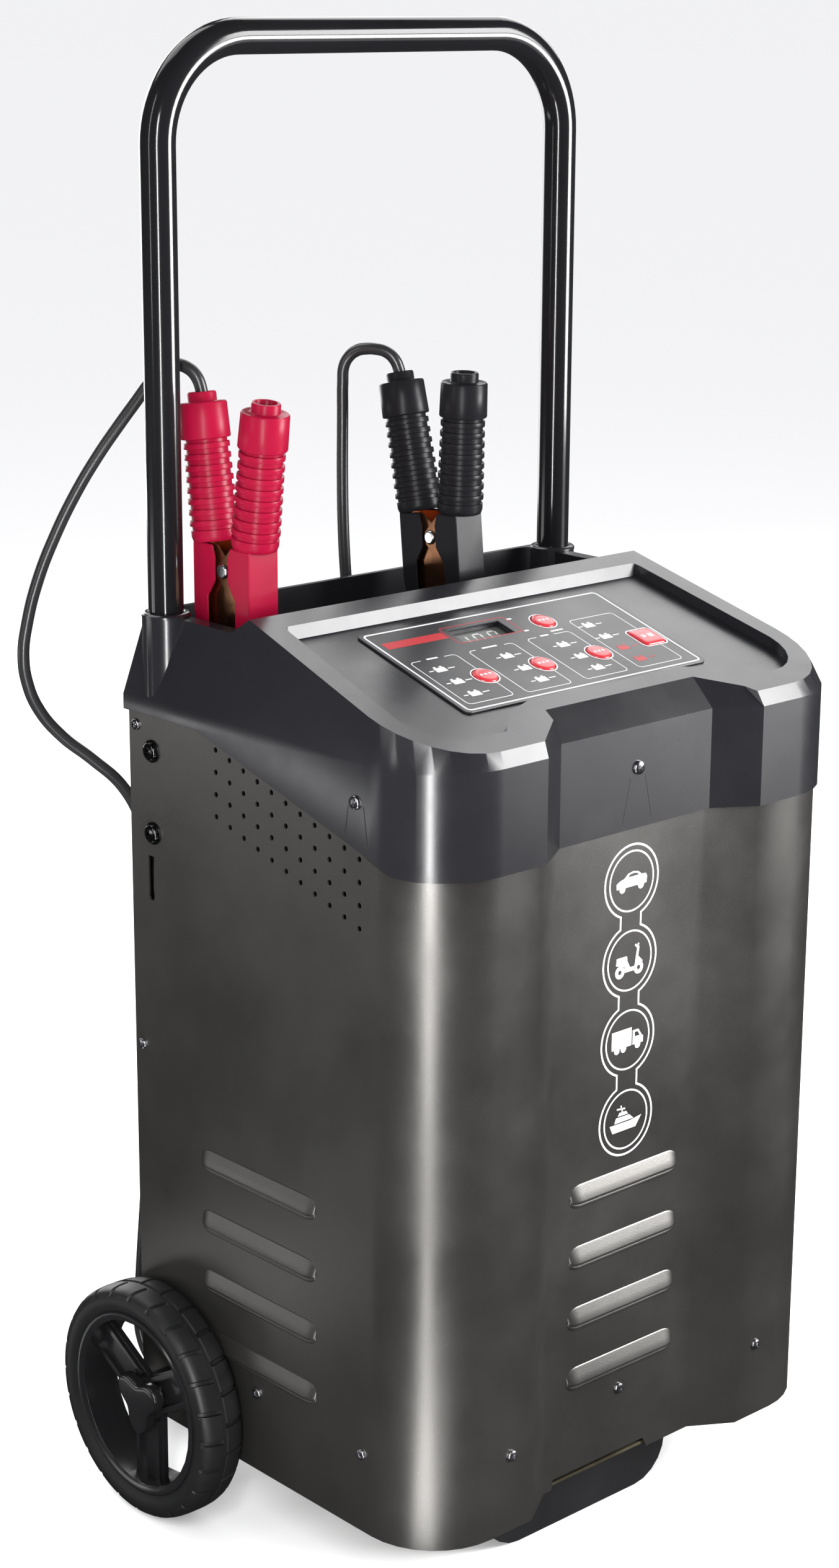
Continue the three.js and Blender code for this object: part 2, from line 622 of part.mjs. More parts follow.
// ---- cables ----
// Points down each cable from its clamp to the top of its coil, chosen by hand.
const RED_RUN = [
  [-139.1, 100, 735.6], [-141.6, 104.9, 739.9], [-144.6, 111.1, 741.4], [-147.3, 116.6, 740.2],
  [-149.7, 121.3, 736.7], [-152.7, 127.6, 729.8], [-157, 136, 718], [-163, 147, 702],
  [-171, 158, 683], [-181, 168, 660], [-192, 177, 632], [-201, 184, 604], [-207, 188, 578], [-209.5, 190, 556],
  [-207, 190, 537], [-200, 188, 519], [-187, 183, 501], [-169, 176, 484], [-150, 170, 464], [-137, 167, 438],
  [-128, 168, 405], [-122, 172, 360], [-119, 178, 310], [-118, 185, 255], [-118, 192, 200], [-118, 199, 145],
  [-118, 205, 95], [-118, 207.5, 68],
];
const BLACK_RUN = [
  [31.6, 109.9, 730.8], [28.6, 114.6, 735.1], [24.9, 120.4, 736.6], [21.7, 125.4, 736.6], [18.1, 131.1, 735.1],
  [15.1, 135.8, 730.8], [13.3, 138.5, 724.6], [12.8, 139.2, 714], [12.5, 139, 696],
  [12.3, 139, 650], [13, 139, 620], [15, 139, 588], [20, 140, 550], [30, 142, 505], [45, 146, 455],
  [62, 151, 405], [79, 158, 355], [95, 166, 305], [107, 176, 255], [114, 187, 200], [118, 197, 145],
  [118, 205, 95], [118, 207.5, 68],
];

// The last quarter turn of a run, from straight down to level along -Y, on the coil's top.
function landing(side) {
  const level = CABLE.radius + 0.7 + COIL.pitch * (COIL.turns + 0.5);
  const turn = arc(COIL.y, level + COIL.bend, COIL.bend, 0, -Math.PI / 2, 4);
  return turn.map(([y, z]) => [side * (COIL.x + COIL.mean), y, z]);
}

// From the gland on the back panel, out and down to the floor beside the coil.
function riseRoute(side) {
  const start = BODY.rear + GLAND.reach + GAP;
  const bend = CABLE.drop - start - 10;
  const out = arc(start + 10, GLAND.z - bend, bend, Math.PI / 2, 0, 6);
  return [[start, GLAND.z], ...out, [CABLE.drop, 12]].map(([y, z]) => [side * GLAND.x, y, z]);
}

function coilRing(side) {
  const high = CABLE.radius * 2 + 0.6 + COIL.pitch * (COIL.turns - 0.5);
  const near = COIL.mean - CABLE.radius - GAP;
  const far = COIL.mean + CABLE.radius + GAP;
  const ring = turned([[near, 0.3], [far, 0.3], [far, high], [near, high], [near, 0.3]], 28);
  return ring.translate(side * COIL.x, COIL.y, 0);
}

function cable(name, side, x, lean, run) {
  const route = [cableStart(x, lean), ...run, ...landing(side)];
  piece(`${name}_cable_run`, tube(route, CABLE.radius, CABLE.sides), BLACK_PVC);
  piece(`${name}_cable_coil`, coilRing(side), BLACK_PVC);
  piece(`${name}_cable_rise`, tube(riseRoute(side), CABLE.radius, CABLE.sides), BLACK_PVC);
}

function gland(x) {
  const { radius, reach } = GLAND;
  const profile = [[0, -10], [11, -10], [11, -1.8], [radius, -1.8], [radius, 0.6], [11, 0.6], [11, 6], [8, 8],
    [6, reach], [0, reach]];
  return turned(profile, 14).rotateX(-Math.PI / 2).translate(x, BODY.rear, GLAND.z);
}

// ---- what works inside ----
function transformerCore() {
  const low = BODY.bottom + 4 + GAP;
  const high = low + 120;
  const frame = solid(box(-70, 70, -72, 8, low, high));
  const windows = [-1, 1].map((side) => box(side * 36 - 14, side * 36 + 14, -90, 20, low + 25, high - 25));
  return cut(frame, ...windows);
}

function transformerWinding() {
  const low = BODY.bottom + 4 + 25;
  const body = solid(box(-48, 48, -98, 34, low + 2, low + 68));
  return cut(body, box(-22 - GAP, 22 + GAP, -72 - GAP, 8 + GAP, low - 10, low + 90));
}

function rectifierHeatSink() {
  const parts = [box(-60, 60, 40, 46, 190, 280)];
  for (let i = 0; i < 7; i += 1) {
    parts.push(box(-58 + i * 19, -56 + i * 19, 44, 76, 190, 280));
  }
  return surface(joined(parts));
}

function fanFrame() {
  const half = FAN.size / 2;
  const frame = solid(box(-half, half, FAN.rear - FAN.deep, FAN.rear, FAN.z - half, FAN.z + half));
  const ring = frame.subtract(solid(bar('y', FAN.bore, 60, [0, FAN.rear, FAN.z], 28)));
  const motor = bar('y', 20, 4, [0, FAN.rear - 2.5, FAN.z], 16);
  const struts = [box(-half + 1, half - 1, FAN.rear - 4.5, FAN.rear - 1, FAN.z - 2.5, FAN.z + 2.5)];
  return surface(ring.add(joined([motor, ...struts])));
}

function fanRotor() {
  const front = FAN.rear - FAN.deep + 2;
  const parts = [bar('y', 18, 17, [0, front + 8.5, FAN.z], 16)];
  for (let i = 0; i < 5; i += 1) {
    const blade = box(14, 52, -1, 1, -8, 8).rotateX(0.6).rotateY((2 * Math.PI * i) / 5);
    parts.push(blade.translate(0, front + 9, FAN.z));
  }
  return surface(joined(parts));
}

// ---- assembly ----
piece('housing_shell', housingShell(), POWDER_COAT);
piece('rear_panel', rearPanel(), POWDER_COAT);
piece('bottom_pan', bottomPan(), ZINC_STEEL);
piece('top_cap', topCap(), CAP_PLASTIC);
controlDeck();
piece('front_foot', frontFoot(), BLACK_STEEL);
piece('handle_tube', handleTube(), GLOSS_BLACK);
piece('axle', bar('x', AXLE.radius, 2 * AXLE.end, [0, WHEEL.y, WHEEL.z]), BRIGHT_STEEL);
for (const [side, name] of [[-1, 'left'], [1, 'right']]) {
  piece(`axle_bracket_${name}`, axleBracket(side), BLACK_STEEL);
  piece(`handle_bolt_${name}_upper`, handleBolt(side, BOLT.high), BLACK_STEEL);
  piece(`handle_bolt_${name}_lower`, handleBolt(side, BOLT.low), BLACK_STEEL);
  wheel(side, name);
}
clamp('red', CLAMP.redX, 0, RED_PVC);
clamp('black', CLAMP.blackX, CLAMP.blackLean, BLACK_PVC);
cable('red', -1, CLAMP.redX, 0, RED_RUN);
cable('black', 1, CLAMP.blackX, CLAMP.blackLean, BLACK_RUN);
piece('red_cable_gland', gland(-GLAND.x), BLACK_PVC);
piece('black_cable_gland', gland(GLAND.x), BLACK_PVC);
piece('mains_gland', gland(130), BLACK_PVC);
piece('transformer_core', transformerCore(), LAMINATED_STEEL);
piece('transformer_winding', transformerWinding(), WOUND_COPPER);
piece('rectifier_heat_sink', rectifierHeatSink(), ALUMINIUM);
piece('fan_frame', fanFrame(), BLACK_PVC);
piece('fan_rotor', fanRotor(), BLACK_PVC);

export default charger;
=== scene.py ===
import bpy
import bmesh
import math
from mathutils import Matrix, Vector
from mathutils.geometry import tessellate_polygon


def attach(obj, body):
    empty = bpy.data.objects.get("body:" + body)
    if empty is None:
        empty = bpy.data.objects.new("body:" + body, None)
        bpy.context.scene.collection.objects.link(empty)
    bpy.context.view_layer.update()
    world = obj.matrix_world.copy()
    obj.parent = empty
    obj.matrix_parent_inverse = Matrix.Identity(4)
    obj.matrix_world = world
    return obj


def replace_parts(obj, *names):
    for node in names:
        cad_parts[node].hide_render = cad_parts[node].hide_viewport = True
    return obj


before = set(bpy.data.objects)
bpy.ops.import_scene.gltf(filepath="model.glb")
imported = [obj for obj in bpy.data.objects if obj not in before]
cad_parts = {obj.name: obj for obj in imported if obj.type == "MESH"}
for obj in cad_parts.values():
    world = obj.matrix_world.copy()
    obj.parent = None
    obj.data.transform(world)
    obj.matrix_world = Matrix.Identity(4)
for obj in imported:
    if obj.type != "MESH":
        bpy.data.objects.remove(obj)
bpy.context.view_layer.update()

MM = 0.001
BODY = "charger"
TAU = 2 * math.pi
# The housing's faces in millimetres: x of the sides, y of the recess down the front, y of the back.
SIDE_FACE, RECESS_FACE, REAR_FACE = 180, -142.5, 119.75
SIDES = ((-1, "left"), (1, "right"))


# ---- camera, floor and light ----
# Heading from the rear toward the right, pitch below level and roll, in degrees; lens in mm; place in metres.
CAMERA = {"turns": (42.44, 15.61, -0.3145), "lens": 65.88, "place": (-1.2154, -1.2806, 0.9661)}
FLOOR_REACH = 30
FLOOR_DROP = 0.0005
FLOOR_GLOW = 0.11
SEEN_GLOW = 0.9  # the world's strength where it is seen and where it lights matt surfaces
MIRRORED_GLOW = 0.05  # the world's strength in reflections
# Each lamp's place, target, width and height in metres (None for a square) and power in watts.
LAMPS = {
    "corner_strip": ((-0.86, -0.66, 0.6), (-0.145, -0.12, 0.45), 0.09, 1.16, 18),
    "spoke_glow": ((-0.4, 0.29, 0.008), (-0.4, 0.29, 1), 0.16, None, 0.11),
    "tyre_glow": ((-0.3, -0.3, 0.008), (-0.3, -0.3, 1), 0.14, 0.2, 0.2),
    "handle_strip": ((-2.0, 0.2, 1.3), (0, 0.1, 0.7), 0.08, 1.6, 7),
    "right_panel": ((1.5, -1.55, 1.45), (0, -0.1, 0.4), 0.9, None, 56),
    "louvre_panel": ((1.25, -1.3, 0.66), (0.05, -0.1, 0.3), 0.7, 0.5, 46),
    "low_right": ((1.15, -1.2, 0.2), (0.05, -0.1, 0.3), 0.7, 0.36, 1.6),
    "left_panel": ((-1.75, 1.4, 0.13), (-0.2, 0, 0.3), 1.0, 0.22, 2.6),
    "top": ((-0.15, 1.2, 2.2), (0, 0, 0.5), 1.2, None, 14),
    "deck_panel": ((1.45, 1.05, 1.8), (0, -0.05, 0.59), 1.3, None, 17),
    "rear": ((0.5, 2.5, 0.9), (0, 0, 0.4), 1.5, None, 34),
}
FLOOR_STRIP = ((-0.513, -0.396, 0.01), (-0.513, -0.396, 1), 0.68, 0.07, 1.5)
FLOOR_STRIP_TURN = 36.9  # degrees, so that it lies square to the photo's left corner


def look(position, target):
    """The turn that points a lamp from one place at another."""
    return (Vector(target) - Vector(position)).to_track_quat("-Z", "Y").to_euler()


def make_camera():
    """Stands where the photo was taken from, as fitted to the body's straight edges."""
    heading, pitch, roll = (math.radians(angle) for angle in CAMERA["turns"])
    ahead = Vector((math.sin(heading), math.cos(heading), 0))
    forward = math.cos(pitch) * ahead - Vector((0, 0, math.sin(pitch)))
    level = Vector((math.cos(heading), -math.sin(heading), 0))
    down = forward.cross(level)
    right = math.cos(roll) * level + math.sin(roll) * down
    below = -math.sin(roll) * level + math.cos(roll) * down
    data = bpy.data.cameras.new("view_camera")
    data.sensor_fit = "VERTICAL"
    data.sensor_height = 36
    data.lens = CAMERA["lens"]
    data.clip_start = 0.05
    data.clip_end = 60
    camera = bpy.data.objects.new("view_camera", data)
    turn = Matrix((right, -below, -forward)).transposed().to_4x4()
    camera.matrix_world = Matrix.Translation(CAMERA["place"]) @ turn
    bpy.context.scene.collection.objects.link(camera)
    bpy.context.scene.camera = camera


def area_light(name, position, target, size, tall, power):
    """A soft lamp that isn't seen itself."""
    data = bpy.data.lights.new(name, "AREA")
    data.energy = power
    data.size = size
    if tall:
        data.shape = "RECTANGLE"
        data.size_y = tall
    lamp = bpy.data.objects.new(name, data)
    lamp.location = position
    lamp.rotation_euler = look(position, target)
    lamp.visible_camera = False
    bpy.context.scene.collection.objects.link(lamp)
    return lamp


def make_studio():
    """An even pale world, a white floor and the lamps."""
    world = bpy.data.worlds.new("studio")
    world.use_nodes = True
    nodes, links = world.node_tree.nodes, world.node_tree.links
    ray = nodes.new("ShaderNodeLightPath")
    glow = nodes.new("ShaderNodeMapRange")
    glow.inputs["To Min"].default_value = SEEN_GLOW
    glow.inputs["To Max"].default_value = MIRRORED_GLOW
    links.new(ray.outputs["Is Glossy Ray"], glow.inputs["Value"])
    links.new(glow.outputs["Result"], nodes["Background"].inputs["Strength"])
    nodes["Background"].inputs["Color"].default_value = (0.98, 0.98, 1, 1)
    bpy.context.scene.world = world
    bpy.context.scene.view_settings.view_transform = "Standard"
    floor_mesh = bpy.data.meshes.new("floor")
    reach = FLOOR_REACH
    corners = [(-reach, -reach, 0), (reach, -reach, 0), (reach, reach, 0), (-reach, reach, 0)]
    floor_mesh.from_pydata(corners, [], [(0, 1, 2, 3)])
    floor = bpy.data.objects.new("floor", floor_mesh)
    floor.location.z = -FLOOR_DROP
    floor.visible_glossy = False
    bpy.context.scene.collection.objects.link(floor)
    white = plastic("floor_white", (0.88, 0.88, 0.88), 0.9, grain=0, spread=0, rough_spread=0, specular=0)
    shader = white.node_tree.nodes["Principled BSDF"]
    shader.inputs["Emission Color"].default_value = (1, 1, 1, 1)
    shader.inputs["Emission Strength"].default_value = FLOOR_GLOW
    floor_mesh.materials.append(white)
    for name, lamp in LAMPS.items():
        area_light(name, *lamp)
    floor_strip = area_light("floor_strip", *FLOOR_STRIP)
    floor_strip.rotation_euler = (math.pi, 0, math.radians(FLOOR_STRIP_TURN))


# ---- materials ----
COAT_ROUGHNESS = 0.12
SLOW = {"Scale": 9, "Detail": 5, "Roughness": 0.65}  # the noise behind slow changes
SLOW_SPAN = (0.3, 0.7)  # the part of that noise which is stretched to the whole change
FLAKE_SPAN = (0.62, 0.74)  # the part of the grain that shows as flakes
FLAKE_COLOUR = (0.5, 0.5, 0.52, 1)


def plastic(name, colour, rough, *, grain, metal=0.0, depth=0.00004, spread=0.12, rough_spread=0.06,
            coat=0.0, specular=0.5, flake=0.0):
    """A moulded, painted or bare surface: fine grain in its bump, slow change in its colour and gloss."""
    made = bpy.data.materials.new(name)
    made.use_nodes = True
    nodes, links = made.node_tree.nodes, made.node_tree.links
    shader = nodes["Principled BSDF"]
    shader.inputs["Metallic"].default_value = metal
    shader.inputs["Specular IOR Level"].default_value = specular
    shader.inputs["Coat Weight"].default_value = coat
    shader.inputs["Coat Roughness"].default_value = COAT_ROUGHNESS
    place = nodes.new("ShaderNodeTexCoord")
    slow = nodes.new("ShaderNodeTexNoise")
    for socket, value in SLOW.items():
        slow.inputs[socket].default_value = value
    links.new(place.outputs["Object"], slow.inputs["Vector"])
    tint = nodes.new("ShaderNodeValToRGB")
    for stop, position, scale in zip(tint.color_ramp.elements, SLOW_SPAN, (1 - spread, 1 + spread)):
        stop.position = position
        stop.color = (*[min(1, c * scale) for c in colour], 1)
    links.new(slow.outputs["Fac"], tint.inputs["Fac"])
    colour_out = tint.outputs["Color"]
    gloss = nodes.new("ShaderNodeMapRange")
    gloss.inputs["From Min"].default_value = SLOW_SPAN[0]
    gloss.inputs["From Max"].default_value = SLOW_SPAN[1]
    gloss.inputs["To Min"].default_value = max(0.02, rough - rough_spread)
    gloss.inputs["To Max"].default_value = min(1, rough + rough_spread)
    links.new(slow.outputs["Fac"], gloss.inputs["Value"])
    links.new(gloss.outputs["Result"], shader.inputs["Roughness"])
    if grain:
        fine = nodes.new("ShaderNodeTexNoise")
        fine.inputs["Scale"].default_value = grain
        fine.inputs["Detail"].default_value = 2
        links.new(place.outputs["Object"], fine.inputs["Vector"])
        bump = nodes.new("ShaderNodeBump")
        bump.inputs["Strength"].default_value = 0.6
        bump.inputs["Distance"].default_value = depth
        links.new(fine.outputs["Fac"], bump.inputs["Height"])
        links.new(bump.outputs["Normal"], shader.inputs["Normal"])
        if flake:
            speck = nodes.new("ShaderNodeMapRange")
            speck.inputs["From Min"].default_value = FLAKE_SPAN[0]
            speck.inputs["From Max"].default_value = FLAKE_SPAN[1]
            speck.inputs["To Max"].default_value = flake
            links.new(fine.outputs["Fac"], speck.inputs["Value"])
            mix = nodes.new("ShaderNodeMix")
            mix.data_type = "RGBA"
            mix.inputs["B"].default_value = FLAKE_COLOUR
            links.new(speck.outputs["Result"], mix.inputs["Factor"])
            links.new(colour_out, mix.inputs["A"])
            colour_out = mix.outputs["Result"]
    links.new(colour_out, shader.inputs["Base Color"])
    return made


LINES = 900  # the scale of the lines on brushed metal


def brushed(name, colour, rough, along=(60, 60, LINES)):
    """Bare metal with fine lines along one direction."""
    made = plastic(name, colour, rough, metal=1.0, grain=LINES, depth=0.00001, spread=0.2, rough_spread=0.1)
    nodes, links = made.node_tree.nodes, made.node_tree.links
    place = next(n for n in nodes if n.type == "TEX_COORD")
    stretch = nodes.new("ShaderNodeMapping")
    stretch.inputs["Scale"].default_value = [a / LINES for a in along]
    links.new(place.outputs["Object"], stretch.inputs["Vector"])
    fine = next(n for n in nodes if n.type == "TEX_NOISE" and n.inputs["Scale"].default_value == LINES)
    links.new(stretch.outputs["Vector"], fine.inputs["Vector"])
    return made


POWDER = plastic("graphite_powder_coat", (0.095, 0.092, 0.088), 0.33, metal=0.9, grain=1500, depth=0.00006,
                 spread=0.08, flake=0.10)
CAP = plastic("grained_cap_plastic", (0.009, 0.009, 0.011), 0.26, grain=1100, depth=0.00002, spread=0.08)
DECK_FILM = plastic("printed_film", (0.02, 0.02, 0.022), 0.34, grain=2200, depth=0.00002, spread=0.05)
GLOSS = plastic("gloss_black_paint", (0.006, 0.006, 0.007), 0.13, grain=300, depth=0.000006,
                rough_spread=0.03, specular=0.34)
DARK_STEEL = plastic("black_painted_steel", (0.012, 0.012, 0.013), 0.3, metal=0.2, grain=900, depth=0.00004)
RUBBER = plastic("tyre_rubber", (0.006, 0.006, 0.0062), 0.46, grain=700, depth=0.00008, spread=0.25,
                 specular=0.32)
RIM = plastic("satin_rim_plastic", (0.006, 0.006, 0.0065), 0.2, grain=900, depth=0.00001, specular=0.6)
PVC_RED = plastic("crimson_pvc", (0.2, 0.0028, 0.019), 0.31, grain=600, depth=0.00003, spread=0.1,
                  specular=0.1)
PVC_BLACK = plastic("black_pvc", (0.008, 0.008, 0.0095), 0.32, grain=600, depth=0.00003, spread=0.12,
                    specular=0.1)
SHEATH = plastic("cable_sheath", (0.014, 0.014, 0.015), 0.3, grain=500, depth=0.00005)
COPPER = brushed("copper_plate", (0.4, 0.19, 0.1), 0.3)
CHROME = brushed("bright_screw_steel", (0.72, 0.72, 0.74), 0.16)
SCREW = brushed("screw_steel", (0.36, 0.36, 0.38), 0.2)
NICKEL = brushed("black_nickel", (0.09, 0.09, 0.095), 0.2)
ZINC = brushed("yellow_zinc", (0.45, 0.4, 0.27), 0.35)
WHITE_INK = plastic("white_ink", (0.55, 0.55, 0.56), 0.5, grain=2500, depth=0.00001, spread=0.03)
RED_INK = plastic("red_ink", (0.3, 0.011, 0.016), 0.45, grain=2500, depth=0.00001, spread=0.05)
KEY_RED = plastic("key_red", (0.36, 0.012, 0.02), 0.32, grain=1600, depth=0.00003, spread=0.06, coat=0.3)
DIGIT = plastic("digit_grey", (0.42, 0.44, 0.42), 0.4, grain=2000, depth=0.00001, spread=0.04)
LED_FACE = plastic("display_face", (0.09, 0.095, 0.09), 0.25, grain=2000, depth=0.00001)
# Near-black and matt: painted shade for the dark seen through the side vents.
HOLE_SHADE = plastic("painted_hole_shade", (0.002, 0.002, 0.002), 0.9, grain=800, specular=0.1)
BOARD = plastic("board_green", (0.013, 0.1, 0.033), 0.35, grain=700)
STEEL_CORE = brushed("laminated_steel", (0.2, 0.2, 0.21), 0.4, along=(30, LINES, 30))
WINDING = brushed("enamelled_copper", (0.6, 0.22, 0.06), 0.3)
ALUMINIUM = brushed("aluminium", (0.62, 0.63, 0.65), 0.3)


# ---- mesh helpers: every outline here is in millimetres ----
SHARP = 28.0  # edges that turn by more degrees than this are softened


def add(name, mesh, material, body, turn=None, smooth=35.0):
    """A shown piece from a bmesh, placed by a matrix, both in millimetres; it rides on a CAD body."""
    bmesh.ops.remove_doubles(mesh, verts=mesh.verts, dist=0.002)
    bmesh.ops.recalc_face_normals(mesh, faces=mesh.faces)
    if turn is not None:
        bmesh.ops.transform(mesh, matrix=turn, verts=mesh.verts)
        if turn.determinant() < 0:
            bmesh.ops.reverse_faces(mesh, faces=mesh.faces)
    bmesh.ops.scale(mesh, vec=(MM, MM, MM), verts=mesh.verts)
    data = bpy.data.meshes.new(name)
    mesh.to_mesh(data)
    mesh.free()
    for face in data.polygons:
        face.use_smooth = True
    data.set_sharp_from_angle(angle=math.radians(smooth))
    piece = bpy.data.objects.new(name, data)
    bpy.context.scene.collection.objects.link(piece)
    data.materials.append(material)
    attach(piece, body)
    return piece


def lathe(profile, sides=48, mesh=None):
    """Turns (radius, height) points round Z."""
    mesh = mesh or bmesh.new()
    rings = []
    for radius, height in profile:
        if radius < 1e-6:
            rings.append([mesh.verts.new((0, 0, height))])
        else:
            turns = [TAU * i / sides for i in range(sides)]
            circle = [(radius * math.cos(a), radius * math.sin(a)) for a in turns]
            rings.append([mesh.verts.new((x, y, height)) for x, y in circle])
    for low, high in zip(rings, rings[1:]):
        for i in range(sides):
            j = (i + 1) % sides
            corners = [low[i % len(low)], low[j % len(low)], high[j % len(high)], high[i % len(high)]]
            corners = list(dict.fromkeys(corners))
            if len(corners) > 2:
                mesh.faces.new(corners)
    return mesh


def arc(cx, cy, radius, start, end, steps):
    """Points on an arc, its angles in degrees."""
    turn = [math.radians(start + (end - start) * i / steps) for i in range(steps + 1)]
    return [(cx + radius * math.cos(a), cy + radius * math.sin(a)) for a in turn]


def rounded(half_x, half_y, radius, cx=0.0, cy=0.0):
    """The outline of a box with rounded corners."""
    x, y = half_x - radius, half_y - radius
    corners = ((x, y, 0), (-x, y, 90), (-x, -y, 180), (x, -y, 270))
    return [p for a, b, turn in corners for p in arc(cx + a, cy + b, radius, turn, turn + 90, 5)]


def fill(mesh, loops, height):
    """A flat face with holes: the first loop is its outline."""
    flat = [[Vector((x, y, 0)) for x, y in loop] for loop in loops]
    points = [mesh.verts.new((p.x, p.y, height)) for loop in flat for p in loop]
    for triangle in tessellate_polygon(flat):
        try:
            mesh.faces.new([points[i] for i in triangle])
        except ValueError:
            continue


def stroke(mesh, points, width, height, closed=False):
    """A flat line of constant width along points."""
    count = len(points)
    sides = []
    for i, (x, y) in enumerate(points):
        before = points[(i - 1) % count] if closed or i else points[i]
        after = points[(i + 1) % count] if closed or i < count - 1 else points[i]
        into = Vector((x - before[0], y - before[1]))
        out = Vector((after[0] - x, after[1] - y))
        into = into.normalized() if into.length > 1e-9 else out.normalized()
        out = out.normalized() if out.length > 1e-9 else into
        along = (into + out).normalized() if (into + out).length > 1e-6 else into
        across = Vector((-along.y, along.x)) * (width / 2) / max(0.5, along.dot(into))
        sides.append((mesh.verts.new((x + across.x, y + across.y, height)),
                      mesh.verts.new((x - across.x, y - across.y, height))))
    for i in range(count if closed else count - 1):
        (a, b), (c, d) = sides[i], sides[(i + 1) % count]
        mesh.faces.new((a, c, d, b))


def prism(outline, low, high, mesh=None):
    """A block with the outline's shape, from one height to another."""
    mesh = mesh or bmesh.new()
    bottom = [mesh.verts.new((x, y, low)) for x, y in outline]
    top = [mesh.verts.new((x, y, high)) for x, y in outline]
    mesh.faces.new(list(reversed(bottom)))
    mesh.faces.new(top)
    for i in range(len(outline)):
        j = (i + 1) % len(outline)
        mesh.faces.new((bottom[i], bottom[j], top[j], top[i]))
    return mesh


def sweep(points, radius, sides):
    """A closed round tube along points, with no twist."""
    mesh = bmesh.new()
    path = [Vector(p) for p in points]
    tangents = []
    for i in range(len(path)):
        before, after = path[max(0, i - 1)], path[min(len(path) - 1, i + 1)]
        tangents.append((after - before).normalized())
    side = tangents[0].orthogonal().normalized()
    rings = []
    for point, tangent in zip(path, tangents):
        side = (side - tangent * side.dot(tangent)).normalized()
        other = tangent.cross(side)
        rings.append([mesh.verts.new(point + radius * (math.cos(TAU * i / sides) * side
                                                       + math.sin(TAU * i / sides) * other))
                      for i in range(sides)])
    for low, high in zip(rings, rings[1:]):
        for i in range(sides):
            j = (i + 1) % sides
            mesh.faces.new((low[i], low[j], high[j], high[i]))
    mesh.faces.new(list(reversed(rings[0])))
    mesh.faces.new(rings[-1])
    return mesh


def rounded_off(mesh, width, segments, angle=SHARP):
    """Bevels the sharp edges of a mesh."""
    edges = [e for e in mesh.edges if len(e.link_faces) == 2 and e.calc_face_angle(0) > math.radians(angle)]
    bmesh.ops.bevel(mesh, geom=edges, offset=width, offset_type="OFFSET", segments=segments, profile=0.6,
                    affect="EDGES", clamp_overlap=True, loop_slide=True)
    return mesh


def from_node(node, change):
    """The shape of a CAD node as a clean bmesh in millimetres, its flat faces whole again."""
    mesh = bmesh.new()
    mesh.from_mesh(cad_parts[node].data)
    bmesh.ops.scale(mesh, vec=(1000, 1000, 1000), verts=mesh.verts)
    bmesh.ops.remove_doubles(mesh, verts=mesh.verts, dist=0.01)
    if change:
        for vertex in mesh.verts:
            change(vertex.co)
    bmesh.ops.dissolve_limit(mesh, angle_limit=math.radians(0.6), verts=mesh.verts, edges=mesh.edges)
    return mesh


def level_normals(piece):
    """Keeps broad faces flat in their shading beside rounded edges."""
    level = piece.modifiers.new("level", "WEIGHTED_NORMAL")
    level.keep_sharp = True


def finished(node, material, body, width, segments=2, angle=SHARP, change=None):
    """A CAD node's own shape with softened edges, which stands for it."""
    mesh = from_node(node, change)
    rounded_off(mesh, width, segments, angle)
    piece = add(node + "_finish", mesh, material, body)
    level_normals(piece)
    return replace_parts(piece, node)


def softened(node, material, width, segments=2):
    """A CAD node that stays in view, its edges rounded by modifiers."""
    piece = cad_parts[node]
    piece.data.materials.clear()
    piece.data.materials.append(material)
    for face in piece.data.polygons:
        face.use_smooth = True
    weld = piece.modifiers.new("weld", "WELD")
    weld.merge_threshold = 0.01 * MM
    bevel = piece.modifiers.new("bevel", "BEVEL")
    bevel.limit_method = "ANGLE"
    bevel.angle_limit = math.radians(SHARP)
    bevel.width = width * MM
    bevel.segments = segments
    level_normals(piece)
    return piece


def axes(origin, across, up):
    """A matrix that takes X to across, Y to up and Z to their cross product."""
    x, y = Vector(across).normalized(), Vector(up).normalized()
    turn = Matrix((x, y, x.cross(y))).transposed().to_4x4()
    return Matrix.Translation(origin) @ turn


make_camera()
make_studio()


# ---- cables, from their glands on the back to their clamps ----
CABLE_RADIUS = 4.0
CABLE_SKIN = 0.98  # how much of that radius is shown
# Each run goes from the clamp's top down to the floor behind the charger.
RED_RUN = [
    (-139.1, 100, 735.6), (-141.6, 104.9, 739.9), (-144.6, 111.1, 741.4), (-147.3, 116.6, 740.2),
    (-149.7, 121.3, 736.7), (-152.7, 127.6, 729.8), (-157, 136, 718), (-163, 147, 702),
    (-171, 158, 683), (-181, 168, 660), (-192, 177, 632), (-201, 184, 604), (-207, 188, 578),
    (-209.5, 190, 556), (-207, 190, 537), (-200, 188, 519), (-187, 183, 501), (-169, 176, 484),
    (-150, 170, 464), (-137, 167, 438), (-128, 168, 405), (-122, 172, 360), (-119, 178, 310),
    (-118, 185, 255), (-118, 192, 200), (-118, 199, 145), (-118, 205, 95), (-118, 207.5, 68),
]
BLACK_RUN = [
    (31.6, 109.9, 730.8), (28.6, 114.6, 735.1), (24.9, 120.4, 736.6), (21.7, 125.4, 736.6),
    (18.1, 131.1, 735.1), (15.1, 135.8, 730.8), (13.3, 138.5, 724.6), (12.8, 139.2, 714), (12.5, 139, 696),
    (12.3, 139, 650), (13, 139, 620), (15, 139, 588), (20, 140, 550), (30, 142, 505), (45, 146, 455),
    (62, 151, 405), (79, 158, 355), (95, 166, 305), (107, 176, 255), (114, 187, 200), (118, 197, 145),
    (118, 205, 95), (118, 207.5, 68),
]
CLAMPS = {"red": (-137.5, 0.0), "black": (33.5, -0.098)}  # each clamp's x and its lean in radians
CLAMP_AT = (65.5, 620.5)  # y and z of both rivets
GRIP_FOOT = (19, 18.2)  # how far a grip's foot is out from the rivet, and above it
GRIP_LEAN = 0.138  # how far a grip leans out for each unit up


